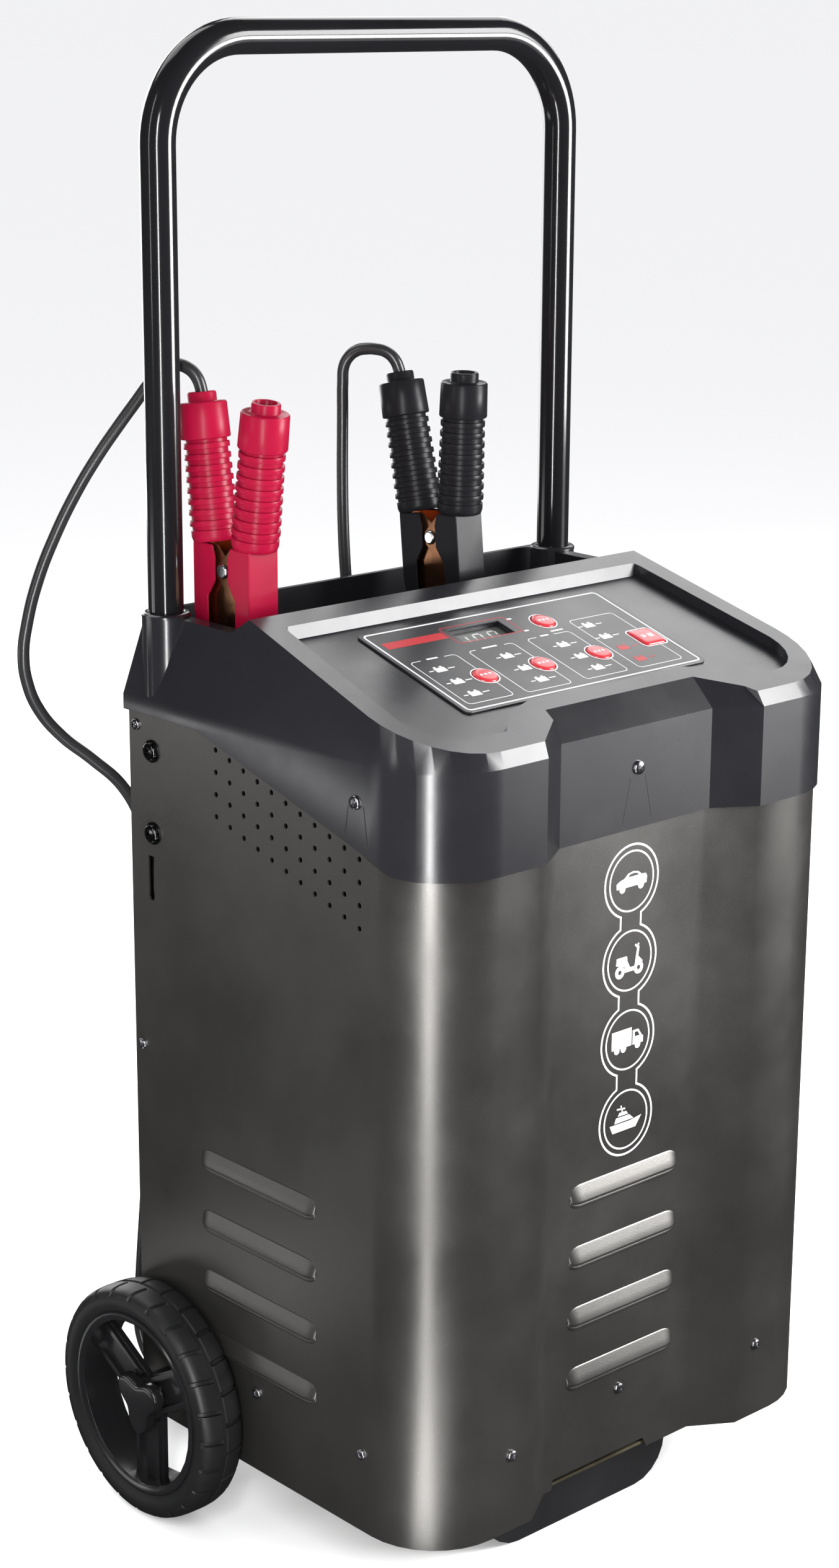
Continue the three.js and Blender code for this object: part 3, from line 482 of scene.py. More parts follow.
def clamp_frame(colour):
    """Stands at a clamp's rivet, with the grips up."""
    x, lean = CLAMPS[colour]
    return Matrix.Translation((x, *CLAMP_AT)) @ Matrix.Rotation(lean, 4, "X")


def stub_end(colour, reach):
    """The point at `reach` along the fixed grip's axis."""
    along = Vector((0, GRIP_LEAN, 1)).normalized() * reach
    return clamp_frame(colour) @ (Vector((0, *GRIP_FOOT)) + along)


def cable_route(side, colour, run):
    """From the gland, down into the coil, round it, and up to the clamp."""
    gland_x, gland_y, gland_z = side * 22, 138.0, 95.0
    level = CABLE_RADIUS + 0.4
    bend, floor_bend = 58.7, 33
    coil_x, coil_y, coil_radius = 70, 176, 48
    out = [(gland_x, y, z) for y, z in arc(150.3, gland_z - bend, bend, 90, 0, 6)][:-1]
    under = [(gland_x, y, z) for y, z in arc(coil_y, level + floor_bend, floor_bend, 0, -90, 5)]
    turns, pitch, steps = 2.5, 8.2, 36
    coil = []
    for i in range(1, steps):
        turned = turns * TAU * i / steps
        x, y = coil_x - coil_radius * math.cos(turned), coil_y - coil_radius * math.sin(turned)
        coil.append((side * x, y, level + pitch * turns * i / steps))
    top = level + pitch * turns
    landing = [(side * (coil_x + coil_radius), y, z) for y, z in arc(coil_y, top + 36, 32, -90, 0, 4)]
    route = [(gland_x, gland_y, gland_z), (gland_x, 145, gland_z)] + out + under + coil + landing
    route += list(reversed(run)) + [tuple(stub_end(colour, 89.3)), tuple(stub_end(colour, 68))]
    return route


def add_cable(side, colour, run, pieces):
    """One clamp's cable as a round curve along its route, riding on the charger."""
    curve = bpy.data.curves.new(colour + "_cable", "CURVE")
    curve.dimensions = "3D"
    curve.bevel_depth = CABLE_RADIUS * MM * CABLE_SKIN
    curve.bevel_resolution = 5
    curve.resolution_u = 8
    curve.use_fill_caps = True
    spline = curve.splines.new("BEZIER")
    route = cable_route(side, colour, run)
    spline.bezier_points.add(len(route) - 1)
    for point, place in zip(spline.bezier_points, route):
        point.co = [c * MM for c in place]
        point.handle_left_type = point.handle_right_type = "AUTO"
    cable = bpy.data.objects.new(colour + "_cable", curve)
    bpy.context.scene.collection.objects.link(cable)
    curve.materials.append(SHEATH)
    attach(cable, BODY)
    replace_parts(cable, *[f"{colour}_cable_{part}" for part in ("run", "coil", "rise")])
    bpy.context.view_layer.update()


# ---- handle ----
POST = {"x": 167, "y": 97, "radius": 10.85, "foot": 431, "top": 934.8, "bend": 62, "boss": 591}


def add_handle():
    """The bent tube and a collar round each foot."""
    x, y, bend, top = POST["x"], POST["y"], POST["bend"], POST["top"]
    left = [(px, y, pz) for px, pz in arc(bend - x, top - bend, bend, 180, 90, 18)]
    right = [(px, y, pz) for px, pz in arc(x - bend, top - bend, bend, 90, 0, 18)]
    path = [(-x, y, POST["foot"]), (-x, y, 640), (-x, y, 760)] + left + [(0, y, top)] + right
    path += [(x, y, 760), (x, y, 640), (x, y, POST["foot"])]
    tube = sweep(path, POST["radius"], 40)
    handle = add("handle_finish", tube, GLOSS, BODY, smooth=60)
    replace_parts(handle, "handle_tube")
    low = POST["boss"] + 0.05
    ring = [(11.15, low), (15.2, low), (15.2, low + 1.4), (14.2, low + 2.4), (12.2, low + 2.8),
            (11.15, low + 2.4), (11.15, low)]
    for side, name in SIDES:
        place = Matrix.Translation((side * x, y, 0))
        add("post_collar_" + name, lathe(ring), CAP, BODY, place)


# ---- screws ----
def screw_head(radius, height):
    """A pan head about Z with a cross recess, its underside at height 0."""
    lines = [c * radius for c in (-0.6, -0.52, -0.46, -0.15, -0.1, 0.1, 0.15, 0.46, 0.52, 0.6)]
    count = len(lines)
    mesh = bmesh.new()

    def top(x, y):
        crown = 1 - 0.32 * (math.hypot(x, y) / radius) ** 2.4
        narrow, long = sorted((abs(x) / radius, abs(y) / radius))
        recess = 0.42 if narrow < 0.12 and long < 0.48 else 0
        return height * crown - height * recess

    grid = [[mesh.verts.new((x, y, top(x, y))) for x in lines] for y in lines]
    for i in range(count - 1):
        for j in range(count - 1):
            mesh.faces.new((grid[i][j], grid[i][j + 1], grid[i + 1][j + 1], grid[i + 1][j]))
    border = grid[0][:-1] + [row[-1] for row in grid[:-1]]
    border += grid[-1][:0:-1] + [row[0] for row in grid[:0:-1]]
    for part, drop in ((0.88, 0.24), (0.97, 0.4), (1.0, 0.62), (1.0, 1.0)):
        reach, level = radius * part, height * (1 - drop)
        circle = []
        for v in border:
            angle = math.atan2(v.co.y, v.co.x)
            circle.append(mesh.verts.new((reach * math.cos(angle), reach * math.sin(angle), level)))
        for i in range(len(border)):
            j = (i + 1) % len(border)
            mesh.faces.new((border[i], border[j], circle[j], circle[i]))
        border = circle
    mesh.faces.new(border)
    return mesh


def add_screw(name, at, normal, radius, material, slot, spin, height=None, washer=False):
    """A screw head on the surface at a point, its cross turned by spin degrees."""
    out = Vector(normal).normalized()
    turn = Matrix.Translation(at) @ out.to_track_quat("Z", "Y").to_matrix().to_4x4()
    turn = turn @ Matrix.Rotation(math.radians(spin), 4, "Z")
    mesh = screw_head(radius, height or 0.55 * radius)
    if washer:
        bmesh.ops.translate(mesh, vec=(0, 0, 0.8), verts=mesh.verts)
        wide, edge = radius * 1.22, radius * 1.15
        lathe([(0, 0), (wide, 0), (wide, 0.6), (edge, 0.8), (0, 0.8)], 32, mesh)
    return add(name, mesh, material, BODY, turn)


# Each side screw's y, z and spin.
SIDE_SCREWS = ((112.6, 521.3, 10), (112.6, 310, 60), (112.6, 130, 30), (0.4, 106, 20), (-99.2, 104, 50))


def add_screws():
    """Every screw and bolt of the housing, the cap and the handle."""
    bright, dark = (SCREW, "bright_steel"), (NICKEL, "black_bolt")
    front, rear = (0, -1, 0), (0, 1, 0)
    for side, name in SIDES:
        out = (side, 0, 0)
        for z, level, spin in ((454, "lower", 5), (507, "upper", 35)):
            bolt = add_screw(f"bolt_head_{name}_{level}", (side * 180.3, POST["y"], z), out, 5.9, *dark, spin,
                             height=3.0, washer=True)
            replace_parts(bolt, f"handle_bolt_{name}_{level}")
        for y, z, spin in SIDE_SCREWS:
            at = (side * (SIDE_FACE + 0.05), y, z)
            add_screw(f"side_screw_{name}_{int(z)}_{int(y)}", at, out, 3.6, *bright, spin)
        add_screw(f"cap_screw_{name}", (side * 182.45, -96.9, 516.2), out, 4.3, *bright, 30)
        add_screw(f"front_screw_{name}", (side * 111.6, -160.05, 103), front, 3.6, *bright, 15)
        for z in (120, 300, 470):
            add_screw(f"rear_screw_{name}_{z}", (side * 166, REAR_FACE, z), rear, 3.6, *dark, 40)
    add_screw("cap_screw_front", (0.8, -144.95, 513.8), front, 4.3, *bright, 25)
    add_screw("front_screw_middle", (0, RECESS_FACE - 0.05, 103), front, 3.6, *bright, 40)


# ---- the marks round the cap's screws ----
MARK = (0.5, 0.12)  # a mark's width, and its height above the cap


def side_plane(side, x):
    """The upright plane along a side, facing out, at x from the middle."""
    return axes((side * x, 0, 0), (0, side, 0), (0, 0, 1))


def add_cap_marks():
    """Fine lines on both sides of each screw in the cap."""
    for side, name in SIDES:
        marks = bmesh.new()
        stroke(marks, [(side * -90.8, 513), (side * -88, 496.6)], *MARK)
        stroke(marks, [(side * -104, 515), (side * -107.3, 492.5)], *MARK)
        add("cap_marks_" + name, marks, CAP, BODY, side_plane(side, 182.4))
    marks = bmesh.new()
    for side in (-1, 1):
        stroke(marks, [(side * 6.4, 508), (side * 12.5, 481)], *MARK)
    front = axes((0.8, -144.9, 0), (1, 0, 0), (0, 0, 1))
    add("cap_marks_front", marks, CAP, BODY, front)


# ---- printed signs down the front ----
SIGN_Z = (442, 391, 339.5, 287)
CHAIN = (23.2, 8.8)  # the outer line's reach at a sign, and at the necks
RING = 19


def chain_outline(reach, neck):
    """One line round all the signs, drawn in at the necks between them."""
    open_at = math.degrees(math.acos(neck / reach))
    points = []
    for i, z in enumerate(SIGN_Z):
        start = 90 if i == 0 else open_at
        end = -90 if i == len(SIGN_Z) - 1 else -open_at
        points += arc(0, z, reach, start, end, 20)
    return points + [(-x, z) for x, z in reversed(points[1:-1])]


def disc(cx, cy, radius, steps=20):
    """A circle's points, without the first one again."""
    return arc(cx, cy, radius, 0, 360 - 360 / steps, steps - 1)


# Each sign below is drawn about height z of the front, at a distance h before it.
def car(mesh, z, h):
    body = [(-13, -3.4), (-13.2, 0.2), (-10.5, 1.6), (-6.5, 2.6), (-3.2, 5.2), (1.2, 6), (5.6, 5.2),
            (8.4, 3), (12.4, 2.6), (13.4, 0.6), (13, -3.4)]
    glass = [(-3.4, 2.8), (-1.6, 4.4), (1.4, 4.9), (4.8, 4.3), (6.4, 2.9)]
    fill(mesh, [[(x, y + z) for x, y in body], [(x, y + z) for x, y in reversed(glass)]], h)
    for x in (-8, 8.2):
        fill(mesh, [disc(x, z - 3.8, 2.6)], h + 0.02)


def scooter(mesh, z, h):
    for x in (-8.5, 8):
        fill(mesh, [disc(x, z - 6, 4.1), list(reversed(disc(x, z - 6, 1.5)))], h)
    frame_line = [(-12, -1), (-11.4, 3.4), (-2.6, 3.4), (-2, 0), (0.4, -4.4), (4.4, -4.4), (6.4, 7.2),
                  (8.4, 7.6), (7.4, 1.6), (10.8, -1.6), (11.6, -2.8), (5.4, -2.2), (4.8, -7), (-4, -7),
                  (-4.6, -3)]
    fill(mesh, [[(x, y + z) for x, y in frame_line]], h + 0.02)
    stroke(mesh, [(4.6, z + 9.4), (6.6, z + 7.4), (7.6, z + 9.8)], 1.3, h + 0.04)


def truck(mesh, z, h):
    fill(mesh, [[(-14, z - 4.4), (-14, z + 7.4), (3.4, z + 7.4), (3.4, z - 4.4)]], h)
    cab = [(4.4, -4.4), (4.4, 5), (9.4, 5), (12.6, 0.4), (13.8, -0.4), (13.8, -4.4)]
    glass = [(6.2, 0.6), (6.2, 3.6), (8.8, 3.6), (10.8, 0.6)]
    fill(mesh, [[(x, y + z) for x, y in cab], [(x, y + z) for x, y in reversed(glass)]], h)
    for x in (-9.4, -3.6, 9):
        fill(mesh, [disc(x, z - 5.2, 2.4)], h + 0.02)


def boat(mesh, z, h):
    fill(mesh, [[(-14, z - 1.6), (-11.5, z - 7), (9, z - 7), (14, z - 0.4), (4, z - 1.8)]], h)
    fill(mesh, [[(-10, z - 0.9), (-8.6, z + 2.6), (3.2, z + 2.4), (7, z - 0.8)]], h)
    fill(mesh, [[(-7, z + 3.4), (-5.6, z + 5.6), (0.4, z + 5.4), (2, z + 3.3)]], h)
    stroke(mesh, [(-3, z + 5.6), (-4.4, z + 10)], 0.9, h)
    stroke(mesh, [(-8, z + 8.2), (-0.6, z + 7.4)], 1.0, h)


def add_front_signs():
    """Four signs for kinds of vehicle, each in a ring, with one line round them all."""
    mesh, h = bmesh.new(), 0.06
    stroke(mesh, chain_outline(*CHAIN), 1.3, h, closed=True)
    for draw, z in zip((car, scooter, truck, boat), SIGN_Z):
        stroke(mesh, disc(0, z, RING, 48), 1.1, h, closed=True)
        draw(mesh, z, h)
    face = axes((0, RECESS_FACE, 0), (1, 0, 0), (0, 0, 1))
    add("front_signs", mesh, WHITE_INK, BODY, face)


# ---- control deck ----
DECK = Matrix.Translation((0, -56, 571.903)) @ Matrix.Rotation(math.atan(0.297), 4, "X")
PRINT = 1.35  # the print's height above the deck
# Each key's place on the deck.
KEYS = {
    "display": (30.3, 25.2), "current": (-12.9, -20.6), "mode": (-61, -20.2), "type": (35.3, -20.9),
    "start_stop": (84.2, -15.1),
}
WINDOW = (-20.9, 27.2)  # the middle of the figure display


def bar(mesh, x, y, wide, high, lift=PRINT):
    """A filled box about a point of the deck."""
    left, right, low, top = x - wide / 2, x + wide / 2, y - high / 2, y + high / 2
    fill(mesh, [[(left, low), (right, low), (right, top), (left, top)]], lift)


def battery(mesh, x, y):
    """A plain battery sign: a block with two posts."""
    wide = 8.4
    high = wide * 0.58
    bar(mesh, x, y, wide, high)
    for side in (-1, 1):
        bar(mesh, x + side * wide * 0.29, y + high / 2 + 0.9, 2, 1.2)


def frame_with_gap(mesh, left, right, low, high, gap=None):
    """A rounded box line, left open on its upper side between the two x values of gap."""
    cx, cy, r, width = (left + right) / 2, (low + high) / 2, 3.0, 0.55
    if gap is None:
        box = rounded((right - left) / 2, (high - low) / 2, r, cx=cx, cy=cy)
        stroke(mesh, box, width, PRINT, closed=True)
        return
    line = [(gap[0], high)] + arc(left + r, high - r, r, 90, 180, 5) + arc(left + r, low + r, r, 180, 270, 5)
    line += arc(right - r, low + r, r, 270, 360, 5) + arc(right - r, high - r, r, 0, 90, 5)
    line += [(gap[1], high)]
    stroke(mesh, line, width, PRINT)


def add_deck_print():
    """The film's lines and signs, with plain bars where the real one has words."""
    white, red = bmesh.new(), bmesh.new()
    stroke(white, rounded(99.6, 49, 3, cx=-2.7, cy=-2.45), 1.3, PRINT, closed=True)
    frame_with_gap(white, -97, -60, -45.6, 8.6, (-88, -69))
    frame_with_gap(white, -49.5, -12, -46.4, 8.4, (-43, -19))
    frame_with_gap(white, 0.4, 37.4, -46, 8.8, (9, 24))
    frame_with_gap(white, 47.4, 86.4, -46, 19.8)
    columns = ((-83.3, (-4.5, -20.4, -36)), (-28.2, (-4.7, -20.9, -36.2)), (20, (-4.9, -21, -36.5)),
               (57.1, (10.5, -5.5)))
    for x, rows in columns:
        for y in rows:
            battery(white, x, y)
            bar(white, x - 7.4, y, 3.6, 0.9)
            bar(white, x + 8.6, y, 5.4, 0.9)
    for y in (-21.4, -36.9):
        battery(red, 57.2, y)
        bar(red, 67.5, y, 6, 0.9)
    for x, y, wide in ((-78.5, 9, 9), (-31, 9, 12.5), (16.5, 9.4, 7), (30.3, 12.4, 10.5)):
        bar(white, x, y, wide, 1.5)
    bar(red, -73, 30.9, 49, 7.6)
    stroke(red, rounded(27, 9.9, 1.2, cx=-20, cy=28.9), 0.7, PRINT, closed=True)
    for x, y in ((9.6, 35), (9.6, 18.5)):
        fill(white, [rounded(1.9, 0.8, 0.5, cx=x, cy=y)], PRINT)
    for name, (x, y) in KEYS.items():
        if name == "start_stop":
            outer, inner = rounded(11, 11, 4, cx=x, cy=y), rounded(10.1, 10.1, 3.3, cx=x, cy=y)
        else:
            outer, inner = disc(x, y, 9.4, 40), disc(x, y, 8.55, 40)
        fill(white, [outer, list(reversed(inner))], PRINT)
    add("deck_print_white", white, WHITE_INK, BODY, DECK)
    add("deck_print_red", red, RED_INK, BODY, DECK)


def square_key():
    """A square key with rounded corners and a crowned top."""
    mesh = bmesh.new()
    rings = []
    for half, z in ((9.5, -2), (9.5, 1.5), (9.2, 2.0), (8.6, 2.35), (6, 2.5), (3, 2.56)):
        outline = rounded(half, half, min(3, half - 0.2))
        rings.append([mesh.verts.new((px, py, z)) for px, py in outline])
    for low, high in zip(rings, rings[1:]):
        for i in range(len(low)):
            j = (i + 1) % len(low)
            mesh.faces.new((low[i], low[j], high[j], high[i]))
    mesh.faces.new(rings[-1])
    mesh.faces.new(list(reversed(rings[0])))
    return mesh


def add_keys():
    """Four round keys and a square one, each with a raised sign."""
    for name, (x, y) in KEYS.items():
        place = DECK @ Matrix.Translation((x, y, 0))
        sign = bmesh.new()
        if name == "start_stop":
            mesh = square_key()
            fill(sign, [[(-4.4, -2.2), (-0.6, 0), (-4.4, 2.2)]], 2.58)
            bar(sign, 3, 0, 4, 4, 2.58)
        else:
            profile = [(0, -2), (8, -2), (8, 1.5), (7.7, 2.0), (7.1, 2.3), (5, 2.48), (2.5, 2.56), (0, 2.58)]
            mesh = lathe(profile, 48)
            for mark in (-3.4, 0, 3.4):
                bar(sign, mark, 0, 1.8, 1.8, 2.6)
        key = add(name + "_key_cap", mesh, KEY_RED, name + "_key", place)
        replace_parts(key, name + "_button")
        add(name + "_key_sign", sign, WHITE_INK, name + "_key", place)


# The ends of each lit segment, as parts of a figure's half width and half height.
RIGHT_SEGMENTS = [((1, 1), (1, 0)), ((1, 0), (1, -1))]
SEGMENTS = {
    "0": [((-1, 1), (1, 1)), *RIGHT_SEGMENTS, ((-1, -1), (1, -1)), ((-1, 0), (-1, -1)), ((-1, 1), (-1, 0))],
    "1": RIGHT_SEGMENTS,
}
FIGURES = {"half": Vector((3.1, 5.3)), "pitch": 12.4, "thick": 1.5, "gap": 0.6, "slant": 0.12, "depth": -3.34}


def add_digits():
    """The figures 1 0 0 in seven-segment form, leaning a little."""
    mesh = bmesh.new()
    half, slant = FIGURES["half"], FIGURES["slant"]
    for place, figure in enumerate("100"):
        shift = WINDOW[0] + (place - 1) * FIGURES["pitch"]
        for segment in SEGMENTS[figure]:
            start, end = (Vector((x * half.x, y * half.y)) for x, y in segment)
            gap = (end - start).normalized() * FIGURES["gap"]
            ends = [(shift + p.x + slant * p.y, WINDOW[1] + p.y) for p in (start + gap, end - gap)]
            stroke(mesh, ends, FIGURES["thick"], FIGURES["depth"])
    add("display_figures", mesh, DIGIT, BODY, DECK)


# ---- wheels ----
WHEEL_AT = (200.7, 84.4, 78)  # the right wheel's middle


def wheel_frame(side):
    """Stands in the middle of a wheel, with Z out of the charger."""
    x, y, z = WHEEL_AT
    outward = Matrix.Rotation(side * math.pi / 2, 4, "Y") @ Matrix.Rotation(math.pi, 4, "Z")
    return Matrix.Translation((side * x, y, z)) @ outward


# The tread's grooves; angles in degrees, lengths in millimetres.
GROOVES = {"count": 24, "shift": 7.5, "skew": 0.11, "inner": 72.4, "deep": 1.5}


def tyre_mesh():
    """A tyre about Z with grooves across its tread, those of each half set between the other's."""
    half = [(61, 13.2), (63, 14.3), (66, 15.8), (69, 16.55), (71, 16.6), (72.2, 16.2), (73.2, 16.1),
            (75, 14.9), (76.6, 12.6), (77.4, 9.5), (77.8, 5), (77.85, 1.9), (76.9, 1.2)]
    profile = half + [(76.9, 0)] + [(r, -h) for r, h in reversed(half)]
    mesh = bmesh.new()
    offsets = (-1.3, -0.85, 0.85, 1.3, 3.6, 6.2, 6.65, 8.35, 8.8, 11.2)
    rings = []
    for groove in range(GROOVES["count"]):
        for step in offsets:
            angle = groove * TAU / GROOVES["count"] + math.radians(step)
            ring = []
            for radius, height in profile:
                skew = angle + math.radians(GROOVES["skew"] * (abs(height) - 8))
                inside = abs(step - (0 if height > 0 else GROOVES["shift"])) < 0.9
                if inside and radius > GROOVES["inner"] and abs(height) > 1.5:
                    radius -= GROOVES["deep"]
                ring.append(mesh.verts.new((radius * math.cos(skew), radius * math.sin(skew), height)))
            rings.append(ring)
    for a, b in zip(rings, rings[1:] + rings[:1]):
        for i in range(len(profile) - 1):
            mesh.faces.new((a[i], b[i], b[i + 1], a[i + 1]))
        mesh.faces.new((a[-1], b[-1], b[0], a[0]))
    return mesh


def add_wheels():
    """Treaded tyres, rims with a raised lip, and hub caps."""
    lip = [(55.9, 13.2), (58.6, 14.9), (60.4, 15.1), (61.4, 14.4), (61.6, 13.6), (60.2, 13.2), (55.9, 13.2)]
    for side, name in SIDES:
        body = "wheel_" + name
        place = wheel_frame(side)
        tyre = add("tyre_tread_" + name, tyre_mesh(), RUBBER, body, place, smooth=40)
        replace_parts(tyre, "tyre_" + name)
        finished("wheel_rim_" + name, RIM, body, 0.7)
        finished("hub_cap_" + name, RIM, body, 0.5, angle=24)
        add("rim_lip_" + name, lathe(lip, 96), RIM, body, place)


# ---- clamps ----
def grip_mesh(hollow):
    """A sleeve about Z with raised bands, a collar and a stub."""
    collar, shoulder, length = 60.0, 82.0, 88.0
    profile = [(0, -2.6), (12.8, -2.6), (13.8, -2), (14.6, 0.6), (14.6, 4.4), (13.6, 4.8)]
    for i in range(8):
        low = 6.9 + 6.7 * i
        shaft = 13.7 - 0.8 * i / 7
        profile += [(shaft, low - 0.1), (shaft + 1.15, low + 0.15), (shaft + 1.3, low + 0.6),
                    (shaft + 1.3, low + 3.1), (shaft + 1.15, low + 3.5), (shaft - 0.1, low + 3.7)]
    profile += [(12.8, collar - 0.6), (14.9, collar - 0.2), (15.3, collar + 0.5), (14.9, shoulder - 1.2),
                (14.2, shoulder - 0.2), (9.4, shoulder), (9, shoulder + 0.4), (9, length - 1), (8.4, length)]
    if hollow:
        profile += [(7.2, length), (6.7, length - 0.6), (6.5, shoulder - 8), (0, shoulder - 8)]
    else:
        profile += [(0, length)]
    return lathe(profile, 56)


def add_clamp(colour, pvc):
    """Makes a clamp and gives back its pieces."""
    stand = clamp_frame(colour)
    pieces = []
    for side, name in ((1, "fixed"), (-1, "moving")):
        body = BODY if side > 0 else colour + "_jaw"
        foot = Matrix.Translation((0, side * GRIP_FOOT[0], GRIP_FOOT[1]))
        lean = foot @ Matrix.Rotation(-side * math.atan(GRIP_LEAN), 4, "X")
        sleeve = grip_mesh(hollow=side < 0)
        grip = add(f"{colour}_{name}_sleeve", sleeve, pvc, body, stand @ lean, smooth=50)
        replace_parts(grip, f"{colour}_clamp_{name}_grip")
        pieces.append(grip)
        pieces.append(softened(f"{colour}_clamp_{name}_guard", pvc, 1.0, segments=3))
        pieces.append(softened(f"{colour}_clamp_{name}_jaw", COPPER, 0.3))
    pieces.append(finished(f"{colour}_clamp_rivet", CHROME, BODY, 0.7, segments=3))
    pieces.append(finished(f"{colour}_clamp_spring", CHROME, BODY, 0.2, segments=1))
    return pieces


# ---- back ----
FAN_Z = 330
GUARD_RINGS = (14, 26, 38, 50, 60)
GUARD_SPOKES = [math.radians(turn) for turn in (45, 135, 225, 315)]
GUARD_SCREWS = 74.5  # how far they are from the middle


def take_in(mesh, part):
    """Adds one mesh to another."""
    data = bpy.data.meshes.new("part")
    part.to_mesh(data)
    part.free()
    mesh.from_mesh(data)
    bpy.data.meshes.remove(data)


def add_fan_guard():
    """Wire rings on spokes over the fan's slots."""
    mesh = bmesh.new()
    for radius in GUARD_RINGS:
        take_in(mesh, lathe([(radius + 0.9 * c, 0.9 * s) for c, s in arc(0, 0, 1, 0, 360, 8)], 72))
    for a in GUARD_SPOKES:
        take_in(mesh, sweep([(r * math.cos(a), r * math.sin(a), 1.6) for r in (6, 30, 60, 72)], 1.1, 10))
    lathe([(0, 0.4), (9, 0.4), (9, 1.6), (7.6, 2.4), (0, 2.4)], 32, mesh)
    place = axes((0, 122.2, FAN_Z), (-1, 0, 0), (0, 0, 1))
    add("fan_guard", mesh, CHROME, BODY, place)
    for i, a in enumerate(GUARD_SPOKES):
        at = (GUARD_SCREWS * math.cos(a), REAR_FACE, FAN_Z + GUARD_SCREWS * math.sin(a))
        add_screw(f"fan_guard_screw_{i}", at, (0, 1, 0), 4.4, CHROME, "bright_steel", 20 * i, height=4.2)


# ---- housing ----
LOUVRES = {"top": 247, "pitch": 41.2, "front": 95, "side": 110}  # the last two are lengths
# The round vents' first y and z, the steps from one column to the next and down to the next row, and radius.
VENTS = {"first": (33.8, 520.4), "column": (-13.13, -3.85), "row": 13.95, "radius": 1.75}
VENT_REACH = 190
# How deep the near-black plates of painted shade stand behind the vents, in millimetres.
SHADE_PLATE_DEPTHS = (-7.5, -6.5)  # behind the side's face


def without_louvres(co):
    """Presses the shell's louvres flat, so that finer ones can stand in their places."""
    if abs(co.x) > SIDE_FACE + 0.05:
        co.x = math.copysign(SIDE_FACE, co.x)
    if abs(co.x) < 60 and 100 < co.z < 270 and -146 < co.y < RECESS_FACE - 0.05:
        co.y = RECESS_FACE


def sloped_pocket(co):
    """Leans the pocket's rear wall back by moving its foot down the deck."""
    if abs(co.y - 4) < 0.3 and abs(co.z - 589.7) < 0.4:
        co.y -= 3.2
        co.z -= 0.95


def louvre_mesh(length):
    """A scoop along X that opens downward, its mouth a lip below the crest."""
    profile = [(8, -0.3), (7.7, 0.05), (6.9, 0.3), (2, 1.85), (-2.2, 3.1), (-3.2, 3.25), (-4.0, 3.0),
               (-4.7, 1.9), (-5.1, 1.45), (-6.3, 1.85), (-7.1, 1.6), (-7.7, 0.7), (-8, -0.3)]
    end, half = 9.0, length / 2
    inner = [end * (1 - math.cos(math.pi / 2 * i / 9)) for i in range(10)]
    stations = [(-half + d, d) for d in inner] + [(x, end) for x in (-half / 3, 0, half / 3)]
    stations += [(half - d, d) for d in reversed(inner)]
    mesh = bmesh.new()
    rows = []
    for x, depth in stations:
        full = math.sqrt(max(0.0, 1 - (1 - depth / end) ** 2))
        rows.append([mesh.verts.new((x, y * (0.35 + 0.65 * full), h * full - 0.02)) for y, h in profile])
    for a, b in zip(rows, rows[1:]):
        for i in range(len(profile) - 1):
            mesh.faces.new((a[i], a[i + 1], b[i + 1], b[i]))
    return mesh


def add_louvres():
    """Four rows on the front and on each side."""
    for row in range(4):
        z = LOUVRES["top"] - LOUVRES["pitch"] * row
        front, side = LOUVRES["front"], LOUVRES["side"]
        places = {
            "front": (front, axes((0, RECESS_FACE, z), (1, 0, 0), (0, 0, 1))),
            "left": (side, axes((-SIDE_FACE, -2, z + 3), (0, -1, 0), (0, 0, 1))),
            "right": (side, axes((SIDE_FACE, -2, z + 3), (0, 1, 0), (0, 0, 1))),
        }
        for where, (length, place) in places.items():
            mesh, name = louvre_mesh(length), f"louvre_{where}_{row + 1}"
            add(name, mesh, POWDER, BODY, place, smooth=50)


def vent_cutters():
    """Pins through both sides where the round vents and the slots are."""
    mesh = bmesh.new()
    (first_y, first_z), (step_y, step_z) = VENTS["first"], VENTS["column"]
    for column in range(11):
        for row in range(4):
            y, z = first_y + step_y * column, first_z + step_z * column - VENTS["row"] * row
            prism(disc(y, z, VENTS["radius"], 16), -VENT_REACH, VENT_REACH, mesh)
    slot = [(103, 438.5), (97.2, 438.5), (98, 418), (97.2, 412), (98.6, 409.4), (101.5, 409.4), (103, 412),
            (102.6, 418)]
    prism(slot, -VENT_REACH, VENT_REACH, mesh)
    bmesh.ops.transform(mesh, matrix=axes((0, 0, 0), (0, 1, 0), (0, 0, 1)), verts=mesh.verts)
    return mesh


def add_shade_plates():
    """Near-black plates inside the sides, which the vents open onto: painted shade for the dark seen through
    the vents.
    """
    for side, name in SIDES:
        plate = prism(rounded(72, 60, 6, cx=side * -32, cy=468), *SHADE_PLATE_DEPTHS)
        rounded_off(plate, 0.3, 1)
        add("vent_shade_plate_" + name, plate, HOLE_SHADE, BODY, side_plane(side, SIDE_FACE))


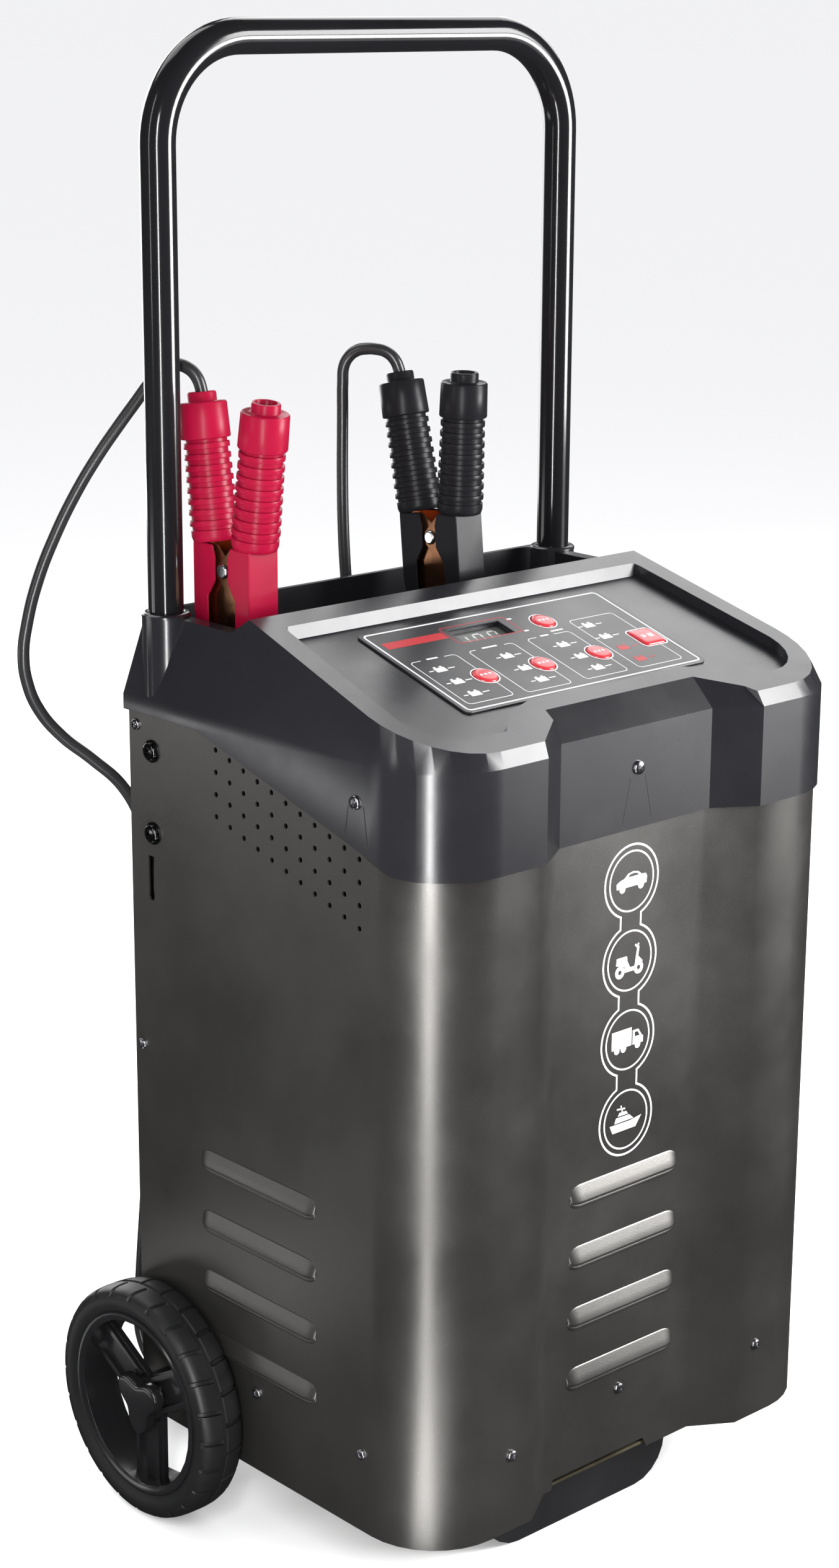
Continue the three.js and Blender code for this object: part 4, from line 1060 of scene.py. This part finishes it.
def carve(piece, cutters):
    """Cuts the cutters' shape out of a piece for good."""
    bmesh.ops.recalc_face_normals(cutters, faces=cutters.faces)
    bmesh.ops.scale(cutters, vec=(MM, MM, MM), verts=cutters.verts)
    data = bpy.data.meshes.new("cutters")
    cutters.to_mesh(data)
    cutters.free()
    tool = bpy.data.objects.new("cutters", data)
    bpy.context.scene.collection.objects.link(tool)
    piece.modifiers.clear()
    cut = piece.modifiers.new("cut", "BOOLEAN")
    cut.object = tool
    cut.solver = "EXACT"
    bpy.context.view_layer.update()
    result = bpy.data.meshes.new_from_object(piece.evaluated_get(bpy.context.evaluated_depsgraph_get()))
    piece.modifiers.clear()
    piece.data = result
    level_normals(piece)
    bpy.data.objects.remove(tool)


def add_frame_finishes():
    """The pieces that keep their CAD shape, with soft edges and the right materials."""
    shell = finished("housing_shell", POWDER, BODY, 0.45, angle=22, change=without_louvres)
    carve(shell, vent_cutters())
    finished("top_cap", CAP, BODY, 1.3, segments=3, angle=24, change=sloped_pocket)
    finished("rear_panel", POWDER, BODY, 0.3, segments=1)
    finished("front_foot", DARK_STEEL, BODY, 0.7)
    finished("control_overlay", DECK_FILM, BODY, 0.15, segments=1)
    finished("axle", CHROME, BODY, 1.0)
    for name in ("red_cable_gland", "black_cable_gland", "mains_gland"):
        finished(name, PVC_BLACK, BODY, 0.5, angle=24)
    for _, name in SIDES:
        finished("push_nut_" + name, CHROME, BODY, 0.3)
        finished("axle_bracket_" + name, DARK_STEEL, BODY, 0.4)
    kept = {
        "bottom_pan": ZINC, "control_board": BOARD, "led_display": LED_FACE,
        "transformer_core": STEEL_CORE, "transformer_winding": WINDING, "rectifier_heat_sink": ALUMINIUM,
        "fan_frame": PVC_BLACK, "fan_rotor": PVC_BLACK,
    }
    for node, material in kept.items():
        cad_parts[node].data.materials.clear()
        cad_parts[node].data.materials.append(material)


for side, colour, run, pvc, pvc_slot in (
    (-1, "red", RED_RUN, PVC_RED, "pvc_red"),
    (1, "black", BLACK_RUN, PVC_BLACK, "pvc_black"),
):
    add_cable(side, colour, run, add_clamp(colour, pvc))
add_handle()
add_screws()
add_cap_marks()
add_front_signs()
add_deck_print()
add_keys()
add_digits()
add_wheels()
add_fan_guard()
add_louvres()
add_shade_plates()
add_frame_finishes()
